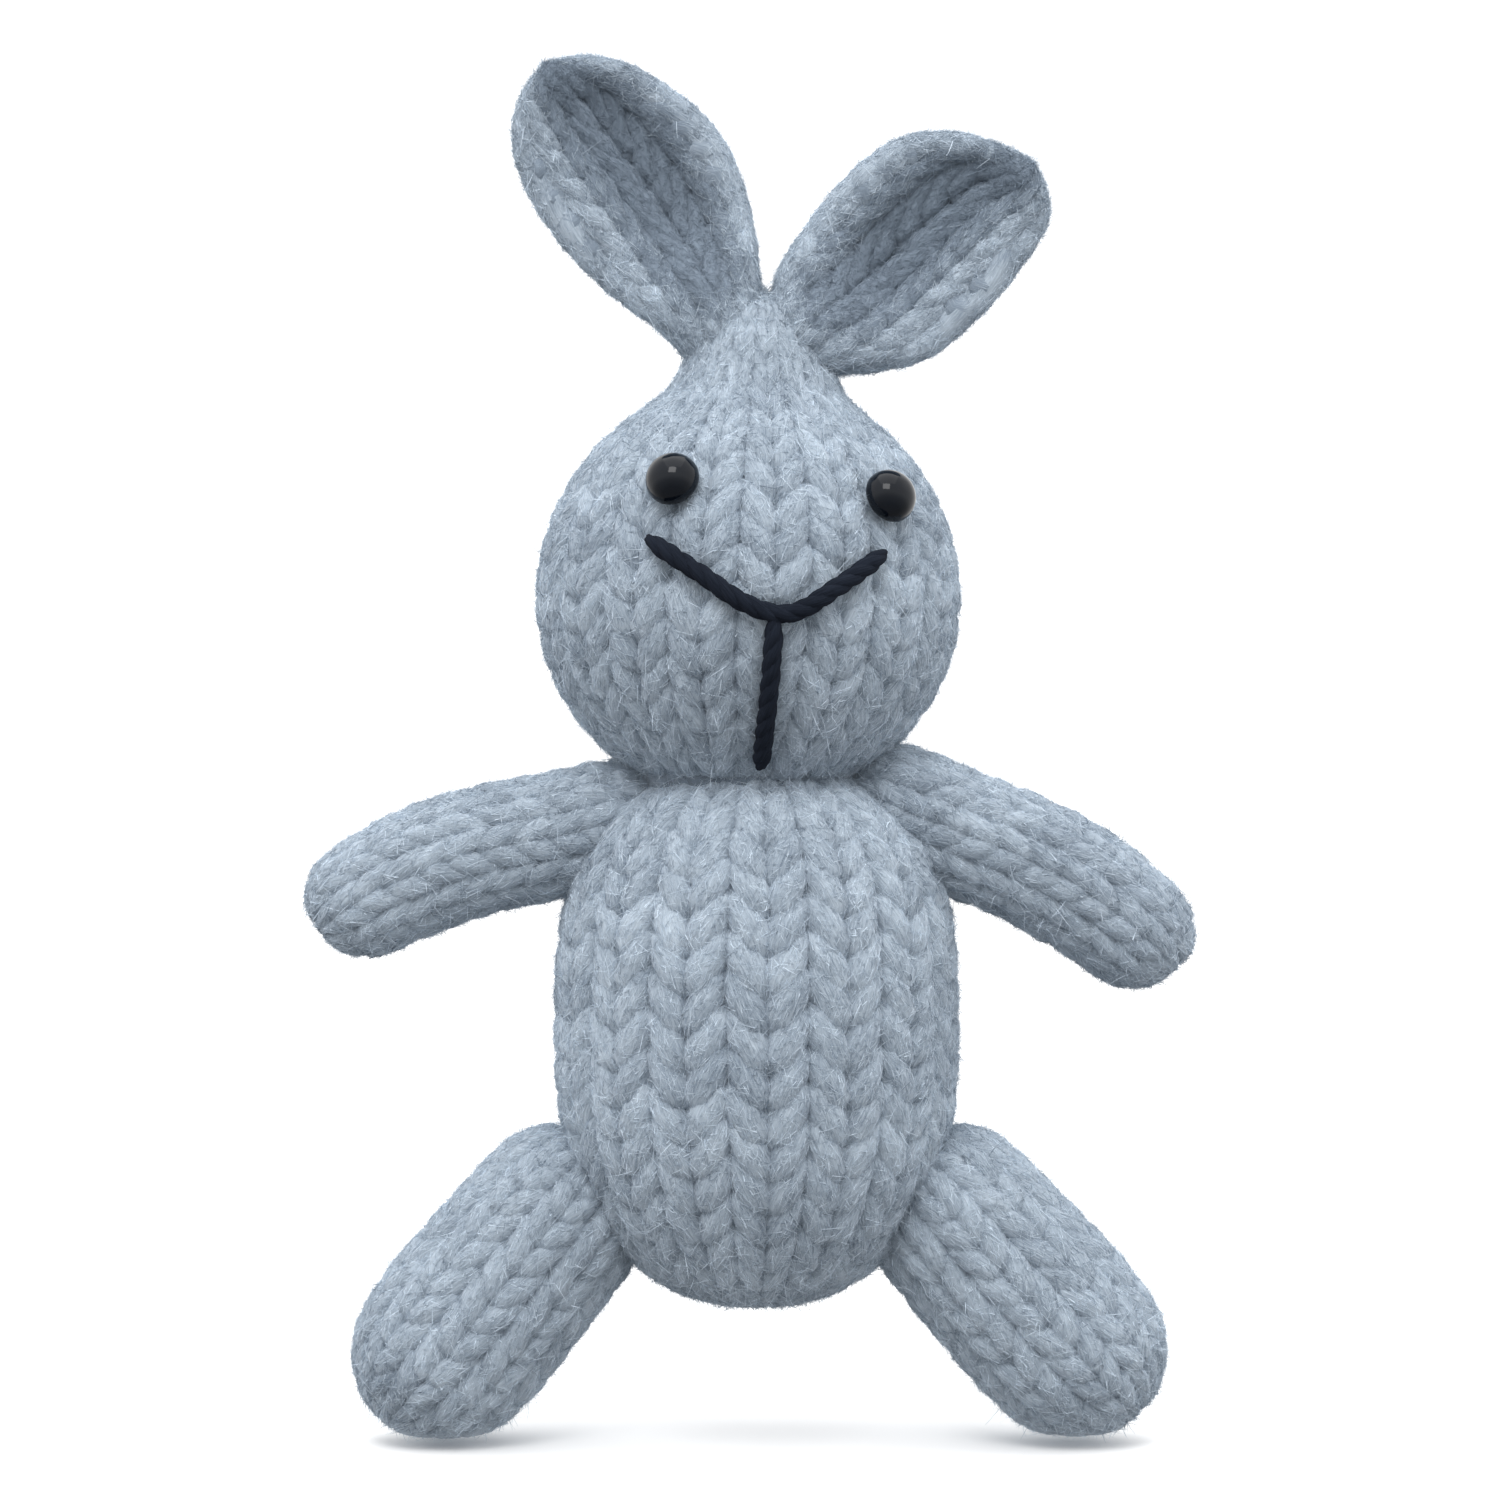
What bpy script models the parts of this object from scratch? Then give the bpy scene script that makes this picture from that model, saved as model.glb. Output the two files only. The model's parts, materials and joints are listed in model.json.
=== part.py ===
"""A hand-knitted, stuffed bunny about 139 mm tall, standing on its two feet.

Frame: metres, +Z up, the face looks along -Y, +X is the toy's own left. The origin is on the floor, at
the middle of the toy's outline. Covers are hollow knitted shells with their stuffing inside, and every limb
is a ball-ended tube that rests in a dimple of the torso and turns about the knot that sews it on.
"""

import math

import bmesh
import bpy
from mathutils import Vector

MM = 0.001
GAP = 0.3  # between touching pieces, in mm

# Lengths are in millimetres, and MM turns them into metres where a mesh or an empty is made.
TORSO_X = 0.7
TORSO_RADIUS = 20.7
TORSO_MIDDLE_Z = 40.6
TORSO_HALF_HEIGHT = 27.0
TORSO_TOP_POWER = 3.0  # squarer shoulders
TORSO_BASE_POWER = 2.3  # rounder seat
TORSO_TOP_Z = 64.6
TORSO_WALL = 4.5
GATHER_HOLE = 1.6
FRONT_SHIFT = 0.9  # moves the toy back, because the mouth stands out in front

NECK = Vector((-0.95, 0.0, 67.0))
NECK_BALL = 7.0
NECK_TIE_RADIUS = 8.5
NECK_TIE_YARN = 0.7

HEAD_ROLL = 2.5  # degrees, towards the toy's left
HEAD_RADIUS = 21.6
HEAD_CENTRE = 17.3  # above the neck knot
HEAD_UPPER = 22.2
HEAD_LOWER = 20.5
HEAD_BASE = -15.6  # from the head's centre
HEAD_WALL = 4.5
CROWN_RADIUS = 7.3
CROWN_TOP = 25.0  # from the head's centre
CROWN_BASE = 20.6  # where the drawn-in crown rises from the ball of the head
HOLLOW_TOP_CUT = 0.6  # the head's hollow is flat this far below its top

EYE_RADIUS = 2.65
EYE_HEIGHT = 2.5
EYE_STEM = 0.8
EYE_STEM_LENGTH = 7.6
EYE_SEAT = 0.4  # the dome's flat back stands this far off the head
WASHER_THICKNESS = 0.9
EYES = {"left": (42.2, 9.9), "right": (-23.2, 10.4)}  # degrees round the head, mm above its centre

MOUTH_YARN = 0.85
MOUTH_DIVE = 3.0  # how deep the ends of a mouth stitch go into the cover
SMILE = [(-27.0, 4.7), (-12.0, 1.5), (-2.0, -0.8), (7.0, -1.9), (14.0, -1.4), (23.0, 0.9), (37.0, 4.4)]
LIP_LINE = [(7.0, -4.1), (7.1, -7.0), (7.3, -10.8), (8.2, -14.8)]

EAR_BALL = 3.2
EAR_HALF_WIDTH = 9.8
EAR_RIM = 4.4  # thickness of the curled rim
EAR_MIDDLE = 3.0  # thickness behind the hollow
EAR_CUP = 5.0  # how far the rims curl forward
EARS = {"left": (4.35, 29.5, 45.5), "right": (-3.85, 32.2, -31.5)}  # x, length, lean in degrees
EAR_HEIGHT = 25.5  # of the ear knots above the head's centre

ARM_BALL = 6.0
ARM_LENGTH = 18.5  # from its knot to the middle of the hand
HAND_RADIUS = 6.3
ARM_RADIUS = 6.9
ARM_WALL = 3.0
ARM_KNOT = (21.8, 60.4)  # from the torso's axis, and height
ARM_DROOP = {"left": 29.6, "right": 18.7}  # degrees below level
ARM_SEAM_FALL = 63.0  # degrees from upright to the way the torso faces at the arm's knot

LEG_BALL = 7.8
LEG_LENGTH = 14.9
FOOT_RADIUS = 9.8
LEG_RADIUS = 10.1
LEG_WALL = 3.5
LEG_KNOT = (20.8, 20.3)
LEG_LEAN = 41.5  # degrees from upright
LEG_SEAM_FALL = 126.0

SEAM_MOUTH = 46.0  # half the angle of the opening that a limb's sewing yarn passes through
KNOT_RADIUS = 1.4
EAR_KNOT_RADIUS = 0.95
YARN_RADIUS = 0.45
GATHER_KNOT = 1.1
GATHER_TAIL = 2.4

SIDES = 24
LIMB_SIDES = 16
SMALL_SIDES = 8

SIDE_SIGN = {"left": 1.0, "right": -1.0}


# ---------------------------------------------------------------- scene and materials
def clear_scene():
    for obj in list(bpy.data.objects):
        bpy.data.objects.remove(obj, do_unlink=True)


def new_collection(name):
    group = bpy.data.collections.new(name)
    bpy.context.scene.collection.children.link(group)
    return group


def material(name, colour, roughness, metallic=0.0):
    made = bpy.data.materials.new(name)
    made.use_nodes = True
    shader = made.node_tree.nodes["Principled BSDF"]
    shader.inputs["Base Color"].default_value = (*colour, 1.0)
    shader.inputs["Roughness"].default_value = roughness
    shader.inputs["Metallic"].default_value = metallic
    return made


clear_scene()
BUNNY = new_collection("knitted_bunny")
CUTTERS = new_collection("cutters")
COVER_YARN = material("cover_yarn", (0.36, 0.42, 0.49), 0.95)
SEWING_YARN = material("sewing_yarn", (0.30, 0.36, 0.43), 0.95)
STUFFING = material("stuffing", (0.85, 0.85, 0.83), 1.0)
BLACK_YARN = material("black_yarn", (0.02, 0.025, 0.035), 0.9)
EYE_PLASTIC = material("eye_plastic", (0.012, 0.013, 0.018), 0.12)
WASHER_PLASTIC = material("washer_plastic", (0.75, 0.75, 0.72), 0.5)


# ---------------------------------------------------------------- making things
def empty(name, place, parent=None, turn=None):
    """An empty at a pivot. Its place is in its parent's frame, in mm."""
    made = bpy.data.objects.new(name, None)
    BUNNY.objects.link(made)
    made.parent = parent
    made.location = Vector(place) * MM
    if turn is not None:
        made.rotation_euler = turn
    return made


def add_object(name, mesh, parent, finish=None):
    """A sub-part where finish is given, and a cutter where it isn't."""
    made = bpy.data.objects.new(name, mesh)
    made.parent = parent
    if finish is None:
        CUTTERS.objects.link(made)
        made.hide_render = True
        made.display_type = "WIRE"
    else:
        BUNNY.objects.link(made)
        mesh.materials.append(finish)
    return made


def turned(name, profile, parent, finish, sides, loop=False):
    """A turned solid about the parent's Z axis. The profile runs down its outer side, as (radius, z) in mm.
    With loop, its last point joins its first, as in a ring or a tube open at both ends."""
    mesh = bpy.data.meshes.new(name)
    count = len(profile)
    edges = [(i, i + 1) for i in range(count - 1)] + ([(count - 1, 0)] if loop else [])
    mesh.from_pydata([(r * MM, 0.0, z * MM) for r, z in profile], edges, [])
    made = add_object(name, mesh, parent, finish)
    screw = made.modifiers.new("turn", "SCREW")
    screw.steps = sides
    screw.render_steps = sides
    screw.use_merge_vertices = True
    screw.merge_threshold = 0.00001
    screw.use_smooth_shade = True
    return made


def cut(made, cutter):
    boolean = made.modifiers.new("cut_" + cutter.name, "BOOLEAN")
    boolean.operation = "DIFFERENCE"
    boolean.object = cutter


def join(made, other):
    boolean = made.modifiers.new("join_" + other.name, "BOOLEAN")
    boolean.operation = "UNION"
    boolean.object = other


def arc(radius, first, last, steps, centre_z=0.0):
    """Points (r, z) on a circle about (0, centre_z), at angles in degrees from +Z."""
    angles = [math.radians(first + (last - first) * i / steps) for i in range(steps + 1)]
    points = [(radius * math.sin(a), centre_z + radius * math.cos(a)) for a in angles]
    return [(0.0 if abs(r) < 1e-6 else r, z) for r, z in points]


def ball_cutter(name, radius, place, parent):
    made = turned(name, arc(radius, 0, 180, 9), parent, None, LIMB_SIDES)
    made.location = Vector(place) * MM
    return made


def rod_cutter(name, radius, low, high, parent, sides=SMALL_SIDES):
    return turned(name, [(0, high), (radius, high), (radius, low), (0, low)], parent, None, sides)


def tube(name, points, radius, parent, finish):
    """A round yarn along points in mm, thinner at both ends where it dives between the stitches."""
    curve = bpy.data.curves.new(name, "CURVE")
    curve.dimensions = "3D"
    curve.bevel_depth = radius * MM
    curve.bevel_resolution = 2
    curve.use_fill_caps = True
    line = curve.splines.new("POLY")
    line.points.add(len(points) - 1)
    for i, (spot, point) in enumerate(zip(line.points, points)):
        spot.co = (*(Vector(point) * MM), 1.0)
        spot.radius = 0.75 if i in (0, len(points) - 1) else 1.0
    made = bpy.data.objects.new(name, curve)
    BUNNY.objects.link(made)
    made.parent = parent
    curve.materials.append(finish)
    return made


# ---------------------------------------------------------------- torso
def torso_radius(z, inset=0.0):
    """The torso's radius at a height, drawn in by inset all round."""
    power = TORSO_TOP_POWER if z > TORSO_MIDDLE_Z else TORSO_BASE_POWER
    share = min(1.0, abs(z - TORSO_MIDDLE_Z) / (TORSO_HALF_HEIGHT - inset))
    return (TORSO_RADIUS - inset) * (1 - share**power) ** (1 / power)


def torso_side(top, inset, least, steps):
    """The torso's outline from a height down to where its radius is least."""
    reach = TORSO_HALF_HEIGHT - inset
    bottom_share = (1 - (least / (TORSO_RADIUS - inset)) ** TORSO_BASE_POWER) ** (1 / TORSO_BASE_POWER)
    first = math.asin((top - TORSO_MIDDLE_Z) / reach)
    last = -math.asin(bottom_share)
    turns = [first + (last - first) * i / steps for i in range(steps + 1)]
    return [(torso_radius(z, inset), z) for z in (TORSO_MIDDLE_Z + reach * math.sin(t) for t in turns)]


def build_torso(neck_ball_cutter, root):
    axis = empty("torso_axis", (TORSO_X, 0, 0), root)
    outer = torso_side(TORSO_TOP_Z, 0.0, GATHER_HOLE, 13)
    inner = torso_side(TORSO_TOP_Z - TORSO_WALL, TORSO_WALL, GATHER_HOLE, 8)
    rim = [(GATHER_HOLE, TORSO_TOP_Z)]
    hollow = [(GATHER_HOLE, inner[0][1])]
    cover = turned("torso_cover", rim + outer + inner[::-1] + hollow, axis, COVER_YARN, SIDES, loop=True)
    cut(cover, neck_ball_cutter)
    for side, sign in SIDE_SIGN.items():
        for kind, ball, knot in (("arm", ARM_BALL, ARM_KNOT), ("leg", LEG_BALL, LEG_KNOT)):
            cut(cover, ball_cutter(f"{kind}_dimple_{side}", ball + GAP, (sign * knot[0], 0, knot[1]), axis))

    inset = TORSO_WALL + GAP
    side_line = torso_side(TORSO_TOP_Z - inset, inset, 0.0, 8)
    filling_profile = [(0.0, TORSO_TOP_Z - inset)] + side_line[:-1] + [(0.0, side_line[-1][1])]
    filling = turned("torso_stuffing", filling_profile, axis, STUFFING, SIDES)
    cut(filling, neck_ball_cutter)

    knot_z = TORSO_MIDDLE_Z - TORSO_HALF_HEIGHT + 1.5
    tail = [(0, knot_z + GATHER_TAIL), (YARN_RADIUS, knot_z + GATHER_TAIL)]
    profile = tail + arc(GATHER_KNOT, 25, 180, 6, knot_z)
    turned("torso_gathering_yarn", profile, axis, SEWING_YARN, SMALL_SIDES)
    return axis


# ---------------------------------------------------------------- neck and head
def head_radius(z, inset=0.0):
    """The head's radius at a height from its centre."""
    reach = (HEAD_UPPER if z > 0 else HEAD_LOWER) - inset
    return (HEAD_RADIUS - inset) * math.sqrt(max(0.0, 1 - (z / reach) ** 2))


def head_point(azimuth, z, lift=0.0):
    """A point on the head, in the neck's frame, and the outward direction there. Azimuth 0 faces forward."""
    turn = math.radians(azimuth)
    radius = head_radius(z)
    reach = HEAD_UPPER if z > 0 else HEAD_LOWER
    flat = Vector((math.sin(turn), -math.cos(turn), 0))
    out = (flat * (radius / HEAD_RADIUS**2) + Vector((0, 0, z / reach**2))).normalized()
    return flat * radius + Vector((0, 0, z + HEAD_CENTRE)) + out * lift, out


def build_neck(neck):
    turned("neck_stuffing", arc(NECK_BALL, 0, 180, 10), neck, STUFFING, LIMB_SIDES)
    ring = arc(NECK_TIE_YARN, 0, 360, 8)[:-1]
    turned("neck_tie_yarn", [(NECK_TIE_RADIUS + r, z) for r, z in ring], neck, SEWING_YARN, SIDES, loop=True)


def head_side(high, low, inset, steps):
    """The head's outline from one height down to another, with its points evenly spread round it."""
    first = math.degrees(math.acos(high / (HEAD_UPPER - inset)))
    last = 180 - math.degrees(math.acos(-low / (HEAD_LOWER - inset)))
    points = []
    for i in range(steps + 1):
        turn = math.radians(first + (last - first) * i / steps)
        reach = (HEAD_UPPER if math.cos(turn) > 0 else HEAD_LOWER) - inset
        points.append(((HEAD_RADIUS - inset) * math.sin(turn), HEAD_CENTRE + reach * math.cos(turn)))
    return points


def build_head(head, neck_ball_cutter, eye_frames):
    knob = [(GATHER_HOLE, 0.0), (CROWN_RADIUS - 2.4, -0.3), (CROWN_RADIUS - 0.8, -1.3), (CROWN_RADIUS, -2.9)]
    crown = [(r, HEAD_CENTRE + CROWN_TOP + z) for r, z in knob]
    outer = head_side(CROWN_BASE, HEAD_BASE, 0.0, 13)
    inner_high = HEAD_UPPER - HEAD_WALL - HOLLOW_TOP_CUT
    inner = head_side(inner_high, HEAD_BASE + HEAD_WALL, HEAD_WALL, 8)
    rim = [(GATHER_HOLE, HEAD_CENTRE + HEAD_BASE), (GATHER_HOLE, HEAD_CENTRE + HEAD_BASE + HEAD_WALL)]
    top = [(GATHER_HOLE, HEAD_CENTRE + inner_high)]
    cover = turned("head_cover", crown + outer + rim + inner[::-1] + top, head, COVER_YARN, SIDES, loop=True)
    cut(cover, neck_ball_cutter)
    for side, (x, _, _) in EARS.items():
        cut(cover, ball_cutter(f"ear_dimple_{side}", EAR_BALL + GAP, (x, 0, HEAD_CENTRE + EAR_HEIGHT), head))

    inset = HEAD_WALL + GAP
    high = HEAD_UPPER - inset - HOLLOW_TOP_CUT
    side_line = head_side(high, HEAD_BASE + inset, inset, 8)
    filling_profile = [(0.0, HEAD_CENTRE + high)] + side_line + [(0.0, side_line[-1][1])]
    filling = turned("head_stuffing", filling_profile, head, STUFFING, SIDES)
    cut(filling, neck_ball_cutter)

    for side, frame in eye_frames.items():
        pocket_depth = EYE_STEM_LENGTH + 1.0
        cut(cover, rod_cutter(f"eye_hole_{side}", EYE_STEM + GAP, -pocket_depth, EYE_HEIGHT, frame))
        cut(filling, rod_cutter(f"eye_pocket_{side}", EYE_RADIUS + 0.5, -pocket_depth, EYE_HEIGHT, frame))

    knot_z = HEAD_CENTRE + CROWN_TOP - 2.2
    tail = [(YARN_RADIUS, knot_z - GATHER_TAIL), (0, knot_z - GATHER_TAIL)]
    profile = arc(GATHER_KNOT, 0, 155, 6, knot_z) + tail
    turned("crown_gathering_yarn", profile, head, SEWING_YARN, SMALL_SIDES)
    return cover


def build_eyes(eye_frames):
    for side, frame in eye_frames.items():
        dome_angles = [math.radians(a) for a in range(0, 91, 15)]
        dome = [(EYE_RADIUS * math.sin(a), EYE_SEAT + EYE_HEIGHT * math.cos(a)) for a in dome_angles]
        stem = [(EYE_STEM, EYE_SEAT), (EYE_STEM, -EYE_STEM_LENGTH), (0, -EYE_STEM_LENGTH)]
        turned(f"eye_{side}", dome + stem, frame, EYE_PLASTIC, LIMB_SIDES)
        top = -HEAD_WALL - 2 * GAP
        bottom = top - WASHER_THICKNESS
        hole = EYE_STEM + GAP
        washer = [(hole, top), (EYE_RADIUS, top), (EYE_RADIUS, bottom), (hole, bottom)]
        turned(f"eye_washer_{side}", washer, frame, WASHER_PLASTIC, LIMB_SIDES, loop=True)


def smooth_line(points, per_span):
    """A smooth curve through (azimuth, z) points, so that a stitch bends like yarn."""
    found = []
    last = len(points) - 1
    for i in range(last):
        before, here, there, after = (Vector(points[max(0, min(last, i + k))]) for k in (-1, 0, 1, 2))
        for step in range(per_span):
            t = step / per_span
            found.append(
                0.5
                * (
                    2 * here
                    + (there - before) * t
                    + (2 * before - 5 * here + 4 * there - after) * t**2
                    + (3 * here - before - 3 * there + after) * t**3
                )
            )
    return found + [Vector(points[-1])]


def build_mouth(head, cover):
    """Each stitch lies on the cover, and both its ends dive into a gap between the knitted stitches."""
    lift = MOUTH_YARN + GAP
    for name, line in (("mouth_smile_stitch", SMILE), ("mouth_lip_stitch", LIP_LINE)):
        path = [head_point(azimuth, z, lift)[0] for azimuth, z in smooth_line(line, 2)]
        ends = []
        for number, (azimuth, z) in enumerate((line[0], line[-1])):
            place, out = head_point(azimuth, z)
            gap = empty(f"{name}_gap_{number}", place, head, out.to_track_quat("Z", "Y").to_euler())
            hole = MOUTH_YARN + 2 * GAP
            cut(cover, rod_cutter(f"{name}_hole_{number}", hole, -MOUTH_DIVE - 2 * GAP, MOUTH_DIVE, gap))
            ends.append([place - out * MOUTH_DIVE, place + out * GAP])
        tube(name, ends[0] + path[1:-1] + ends[1][::-1], MOUTH_YARN, head, BLACK_YARN)


# ---------------------------------------------------------------- ears
def ear_half_width(share):
    """Half the ear's width at a share of its length: a petal, narrow at its base."""
    return EAR_HALF_WIDTH * math.sin(math.pi * share**1.25) ** 0.5


def ear_section(share):
    """The closed outline of a cross-section, as (x, y): a crescent with round rims, hollow towards -Y."""
    half = ear_half_width(share)
    size = min(1.0, half / (0.6 * EAR_HALF_WIDTH))
    rim = EAR_RIM / 2 * size
    reach = max(half - rim, 0.05)
    spread = math.radians(70)
    back, front = [], []
    steps = 6
    for i in range(steps + 1):
        turn = spread * (2 * i / steps - 1)
        curl = (1 - math.cos(turn)) / (1 - math.cos(spread))
        middle = Vector((reach * math.sin(turn) / math.sin(spread), 1.2 - EAR_CUP * size * curl))
        steepness = EAR_CUP * size * 0.9 / (1 - math.cos(spread))
        out = Vector((steepness * math.sin(turn), reach * math.cos(turn))).normalized()
        thick = (EAR_MIDDLE * (1 - curl) + EAR_RIM * curl) / 2 * size
        back.append(middle + out * thick)
        front.append(middle - out * thick)
    tips = []
    for inner, outer in ((back[-1], front[-1]), (front[0], back[0])):
        middle = (inner + outer) / 2
        along = (outer - inner) / 2
        bulge = Vector((-along.y, along.x))
        tips.append([middle + bulge * 0.8 - along * 0.6, middle + bulge * 0.8 + along * 0.6])
    return back + tips[0] + front[::-1] + tips[1]


def ear_blade(name, length, frame):
    """The knitted ear, cupped towards -Y and rising along +Z."""
    shares = [0.05, 0.12, 0.22, 0.34, 0.48, 0.63, 0.77, 0.88, 0.95, 0.99]
    mesh = bpy.data.meshes.new(name)
    rings = [[Vector((x, y, share * length)) * MM for x, y in ear_section(share)] for share in shares]
    around = len(rings[0])
    faces = []
    for row in range(len(rings) - 1):
        for i in range(around):
            low, low_next = row * around + i, row * around + (i + 1) % around
            faces.append((low, low + around, low_next + around, low_next))
    faces.append(tuple(range(around)))
    faces.append(tuple(reversed([(len(rings) - 1) * around + i for i in range(around)])))
    mesh.from_pydata([point for ring in rings for point in ring], [], faces)
    shape = bmesh.new()
    shape.from_mesh(mesh)
    bmesh.ops.recalc_face_normals(shape, faces=shape.faces)
    shape.to_mesh(mesh)
    shape.free()
    return add_object(name, mesh, frame, COVER_YARN)


def seam_mouth(name, reach, frame):
    """A cutter for the opening that faces the body, towards -Z, in which the sewing yarn can swing."""
    wide = reach * math.tan(math.radians(SEAM_MOUTH))
    return turned(name, [(0, 0), (wide, -reach), (0, -reach)], frame, None, LIMB_SIDES)


def build_ears(head):
    for side, (x, length, lean) in EARS.items():
        place = (x, 0, HEAD_CENTRE + EAR_HEIGHT)
        frame = empty(f"ear_pivot_{side}", place, head, (0, math.radians(lean), 0))
        ear = ear_blade(f"ear_{side}", length, frame)
        join(ear, ball_cutter(f"ear_root_{side}", EAR_BALL, (0, 0, 0), frame))
        cut(ear, ball_cutter(f"ear_hollow_{side}", EAR_BALL - 1.5, (0, 0, 0), frame))
        inward = empty(f"ear_seam_{side}", place, head, (0, math.radians(lean * 0.3), 0))
        cut(ear, seam_mouth(f"ear_mouth_{side}", EAR_BALL + 1.2, inward))
        tail = [(EAR_KNOT_RADIUS / 3, GAP - EAR_BALL), (0, GAP - EAR_BALL)]
        profile = arc(EAR_KNOT_RADIUS, 0, 160, 6) + tail
        turned(f"ear_sewing_yarn_{side}", profile, inward, SEWING_YARN, SMALL_SIDES)


# ---------------------------------------------------------------- arms and legs
def limb(kind, side, frame, inward, ball, outer, inner, filling):
    """A stuffed tube: its cover open towards the body, its stuffing, and the knotted yarn that sews it on."""
    cover = turned(f"{kind}_cover_{side}", outer, frame, COVER_YARN, LIMB_SIDES)
    cut(cover, turned(f"{kind}_hollow_{side}", inner, frame, None, LIMB_SIDES))
    cut(cover, seam_mouth(f"{kind}_mouth_{side}", ball + 1.5, inward))
    turned(f"{kind}_stuffing_{side}", filling, frame, STUFFING, LIMB_SIDES)
    profile = arc(KNOT_RADIUS, 0, 160, 7) + [(YARN_RADIUS, GAP - ball), (0, GAP - ball)]
    turned(f"{kind}_sewing_yarn_{side}", profile, inward, SEWING_YARN, SMALL_SIDES)
    return cover


def limb_frame(name, knot, sign, fall, torso_axis):
    """An empty at a limb's knot. Its +Z is fall degrees down from upright, towards the limb's side."""
    place = (sign * knot[0], 0, knot[1])
    return empty(name, place, torso_axis, (0, sign * math.radians(fall), 0))


def build_arms(torso_axis):
    for side, sign in SIDE_SIGN.items():
        frame = limb_frame(f"arm_pivot_{side}", ARM_KNOT, sign, 90 + ARM_DROOP[side], torso_axis)
        inward = limb_frame(f"arm_seam_{side}", ARM_KNOT, sign, ARM_SEAM_FALL, torso_axis)
        wide = ARM_RADIUS
        outer = arc(HAND_RADIUS, 0, 80, 5, ARM_LENGTH)
        outer += [(wide - 0.2, 14.5), (wide, 10.0), (wide - 0.5, 6.3)] + arc(ARM_BALL, 76, 180, 7)
        wall = ARM_WALL
        inner = arc(HAND_RADIUS - wall, 0, 80, 4, ARM_LENGTH)
        inner += [(wide - wall, 14.0), (wide - wall, 9.0), (3.3, 3.5)] + arc(3.1, 90, 180, 4)
        inset = wall + GAP
        filling = arc(HAND_RADIUS - inset, 0, 80, 4, ARM_LENGTH)
        filling += [(wide - inset, 14.0), (wide - inset, 9.0), (2.9, 3.8), (2.7, 2.0), (0, 2.0)]
        limb("arm", side, frame, inward, ARM_BALL, outer, inner, filling)


def build_legs(torso_axis, root):
    floor = rod_cutter("floor_cut", 70.0, -20.0, 0.0, root, SIDES)
    for side, sign in SIDE_SIGN.items():
        frame = limb_frame(f"leg_pivot_{side}", LEG_KNOT, sign, 180 - LEG_LEAN, torso_axis)
        inward = limb_frame(f"leg_seam_{side}", LEG_KNOT, sign, LEG_SEAM_FALL, torso_axis)
        wide = LEG_RADIUS
        outer = arc(FOOT_RADIUS, 0, 80, 7, LEG_LENGTH)
        outer += [(wide, 12.0), (wide - 0.4, 8.5), (wide - 1.2, 5.4)] + arc(LEG_BALL, 74, 180, 7)
        wall = LEG_WALL
        inner = arc(FOOT_RADIUS - wall, 0, 80, 5, LEG_LENGTH)
        inner += [(wide - wall, 11.5), (wide - wall - 0.6, 8.0), (4.2, 3.5)] + arc(3.8, 90, 180, 4)
        inset = wall + GAP
        filling = arc(FOOT_RADIUS - inset, 0, 80, 5, LEG_LENGTH)
        filling += [(wide - inset, 11.5), (wide - inset - 0.6, 8.0), (3.8, 3.8), (3.4, 2.0), (0, 2.0)]
        cover = limb("leg", side, frame, inward, LEG_BALL, outer, inner, filling)
        cut(cover, floor)


# ---------------------------------------------------------------- the whole toy
def main():
    root = empty("bunny", (0, FRONT_SHIFT, 0))
    neck = empty("neck_pivot", NECK, root, (0, math.radians(HEAD_ROLL), 0))
    head = empty("head_turn", (0, 0, 0), neck)
    neck_ball_cutter = ball_cutter("neck_hollow", NECK_BALL + GAP, (0, 0, 0), neck)
    eye_frames = {}
    for side, (azimuth, z) in EYES.items():
        place, out = head_point(azimuth, z)
        turn = out.to_track_quat("Z", "Y").to_euler()
        eye_frames[side] = empty(f"eye_seat_{side}", place, head, turn)

    torso_axis = build_torso(neck_ball_cutter, root)
    build_neck(neck)
    head_cover = build_head(head, neck_ball_cutter, eye_frames)
    build_eyes(eye_frames)
    build_mouth(head, head_cover)
    build_ears(head)
    build_arms(torso_axis)
    build_legs(torso_axis, root)


main()
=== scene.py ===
"""The knitted look of a stuffed bunny.

Every cover is wound from one fluffy yarn: a soft form gives the shape, the yarn runs round it course by course in
knitted loops, and loose fibres stand out from it. The frame is in metres with +Z up, and the face looks along -Y.
Lengths inside the functions are in millimetres, and MM turns them into metres where a mesh is made.
"""

import json
import math

import bmesh
import bpy
import numpy as np
from mathutils import Matrix, Vector, noise


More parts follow.
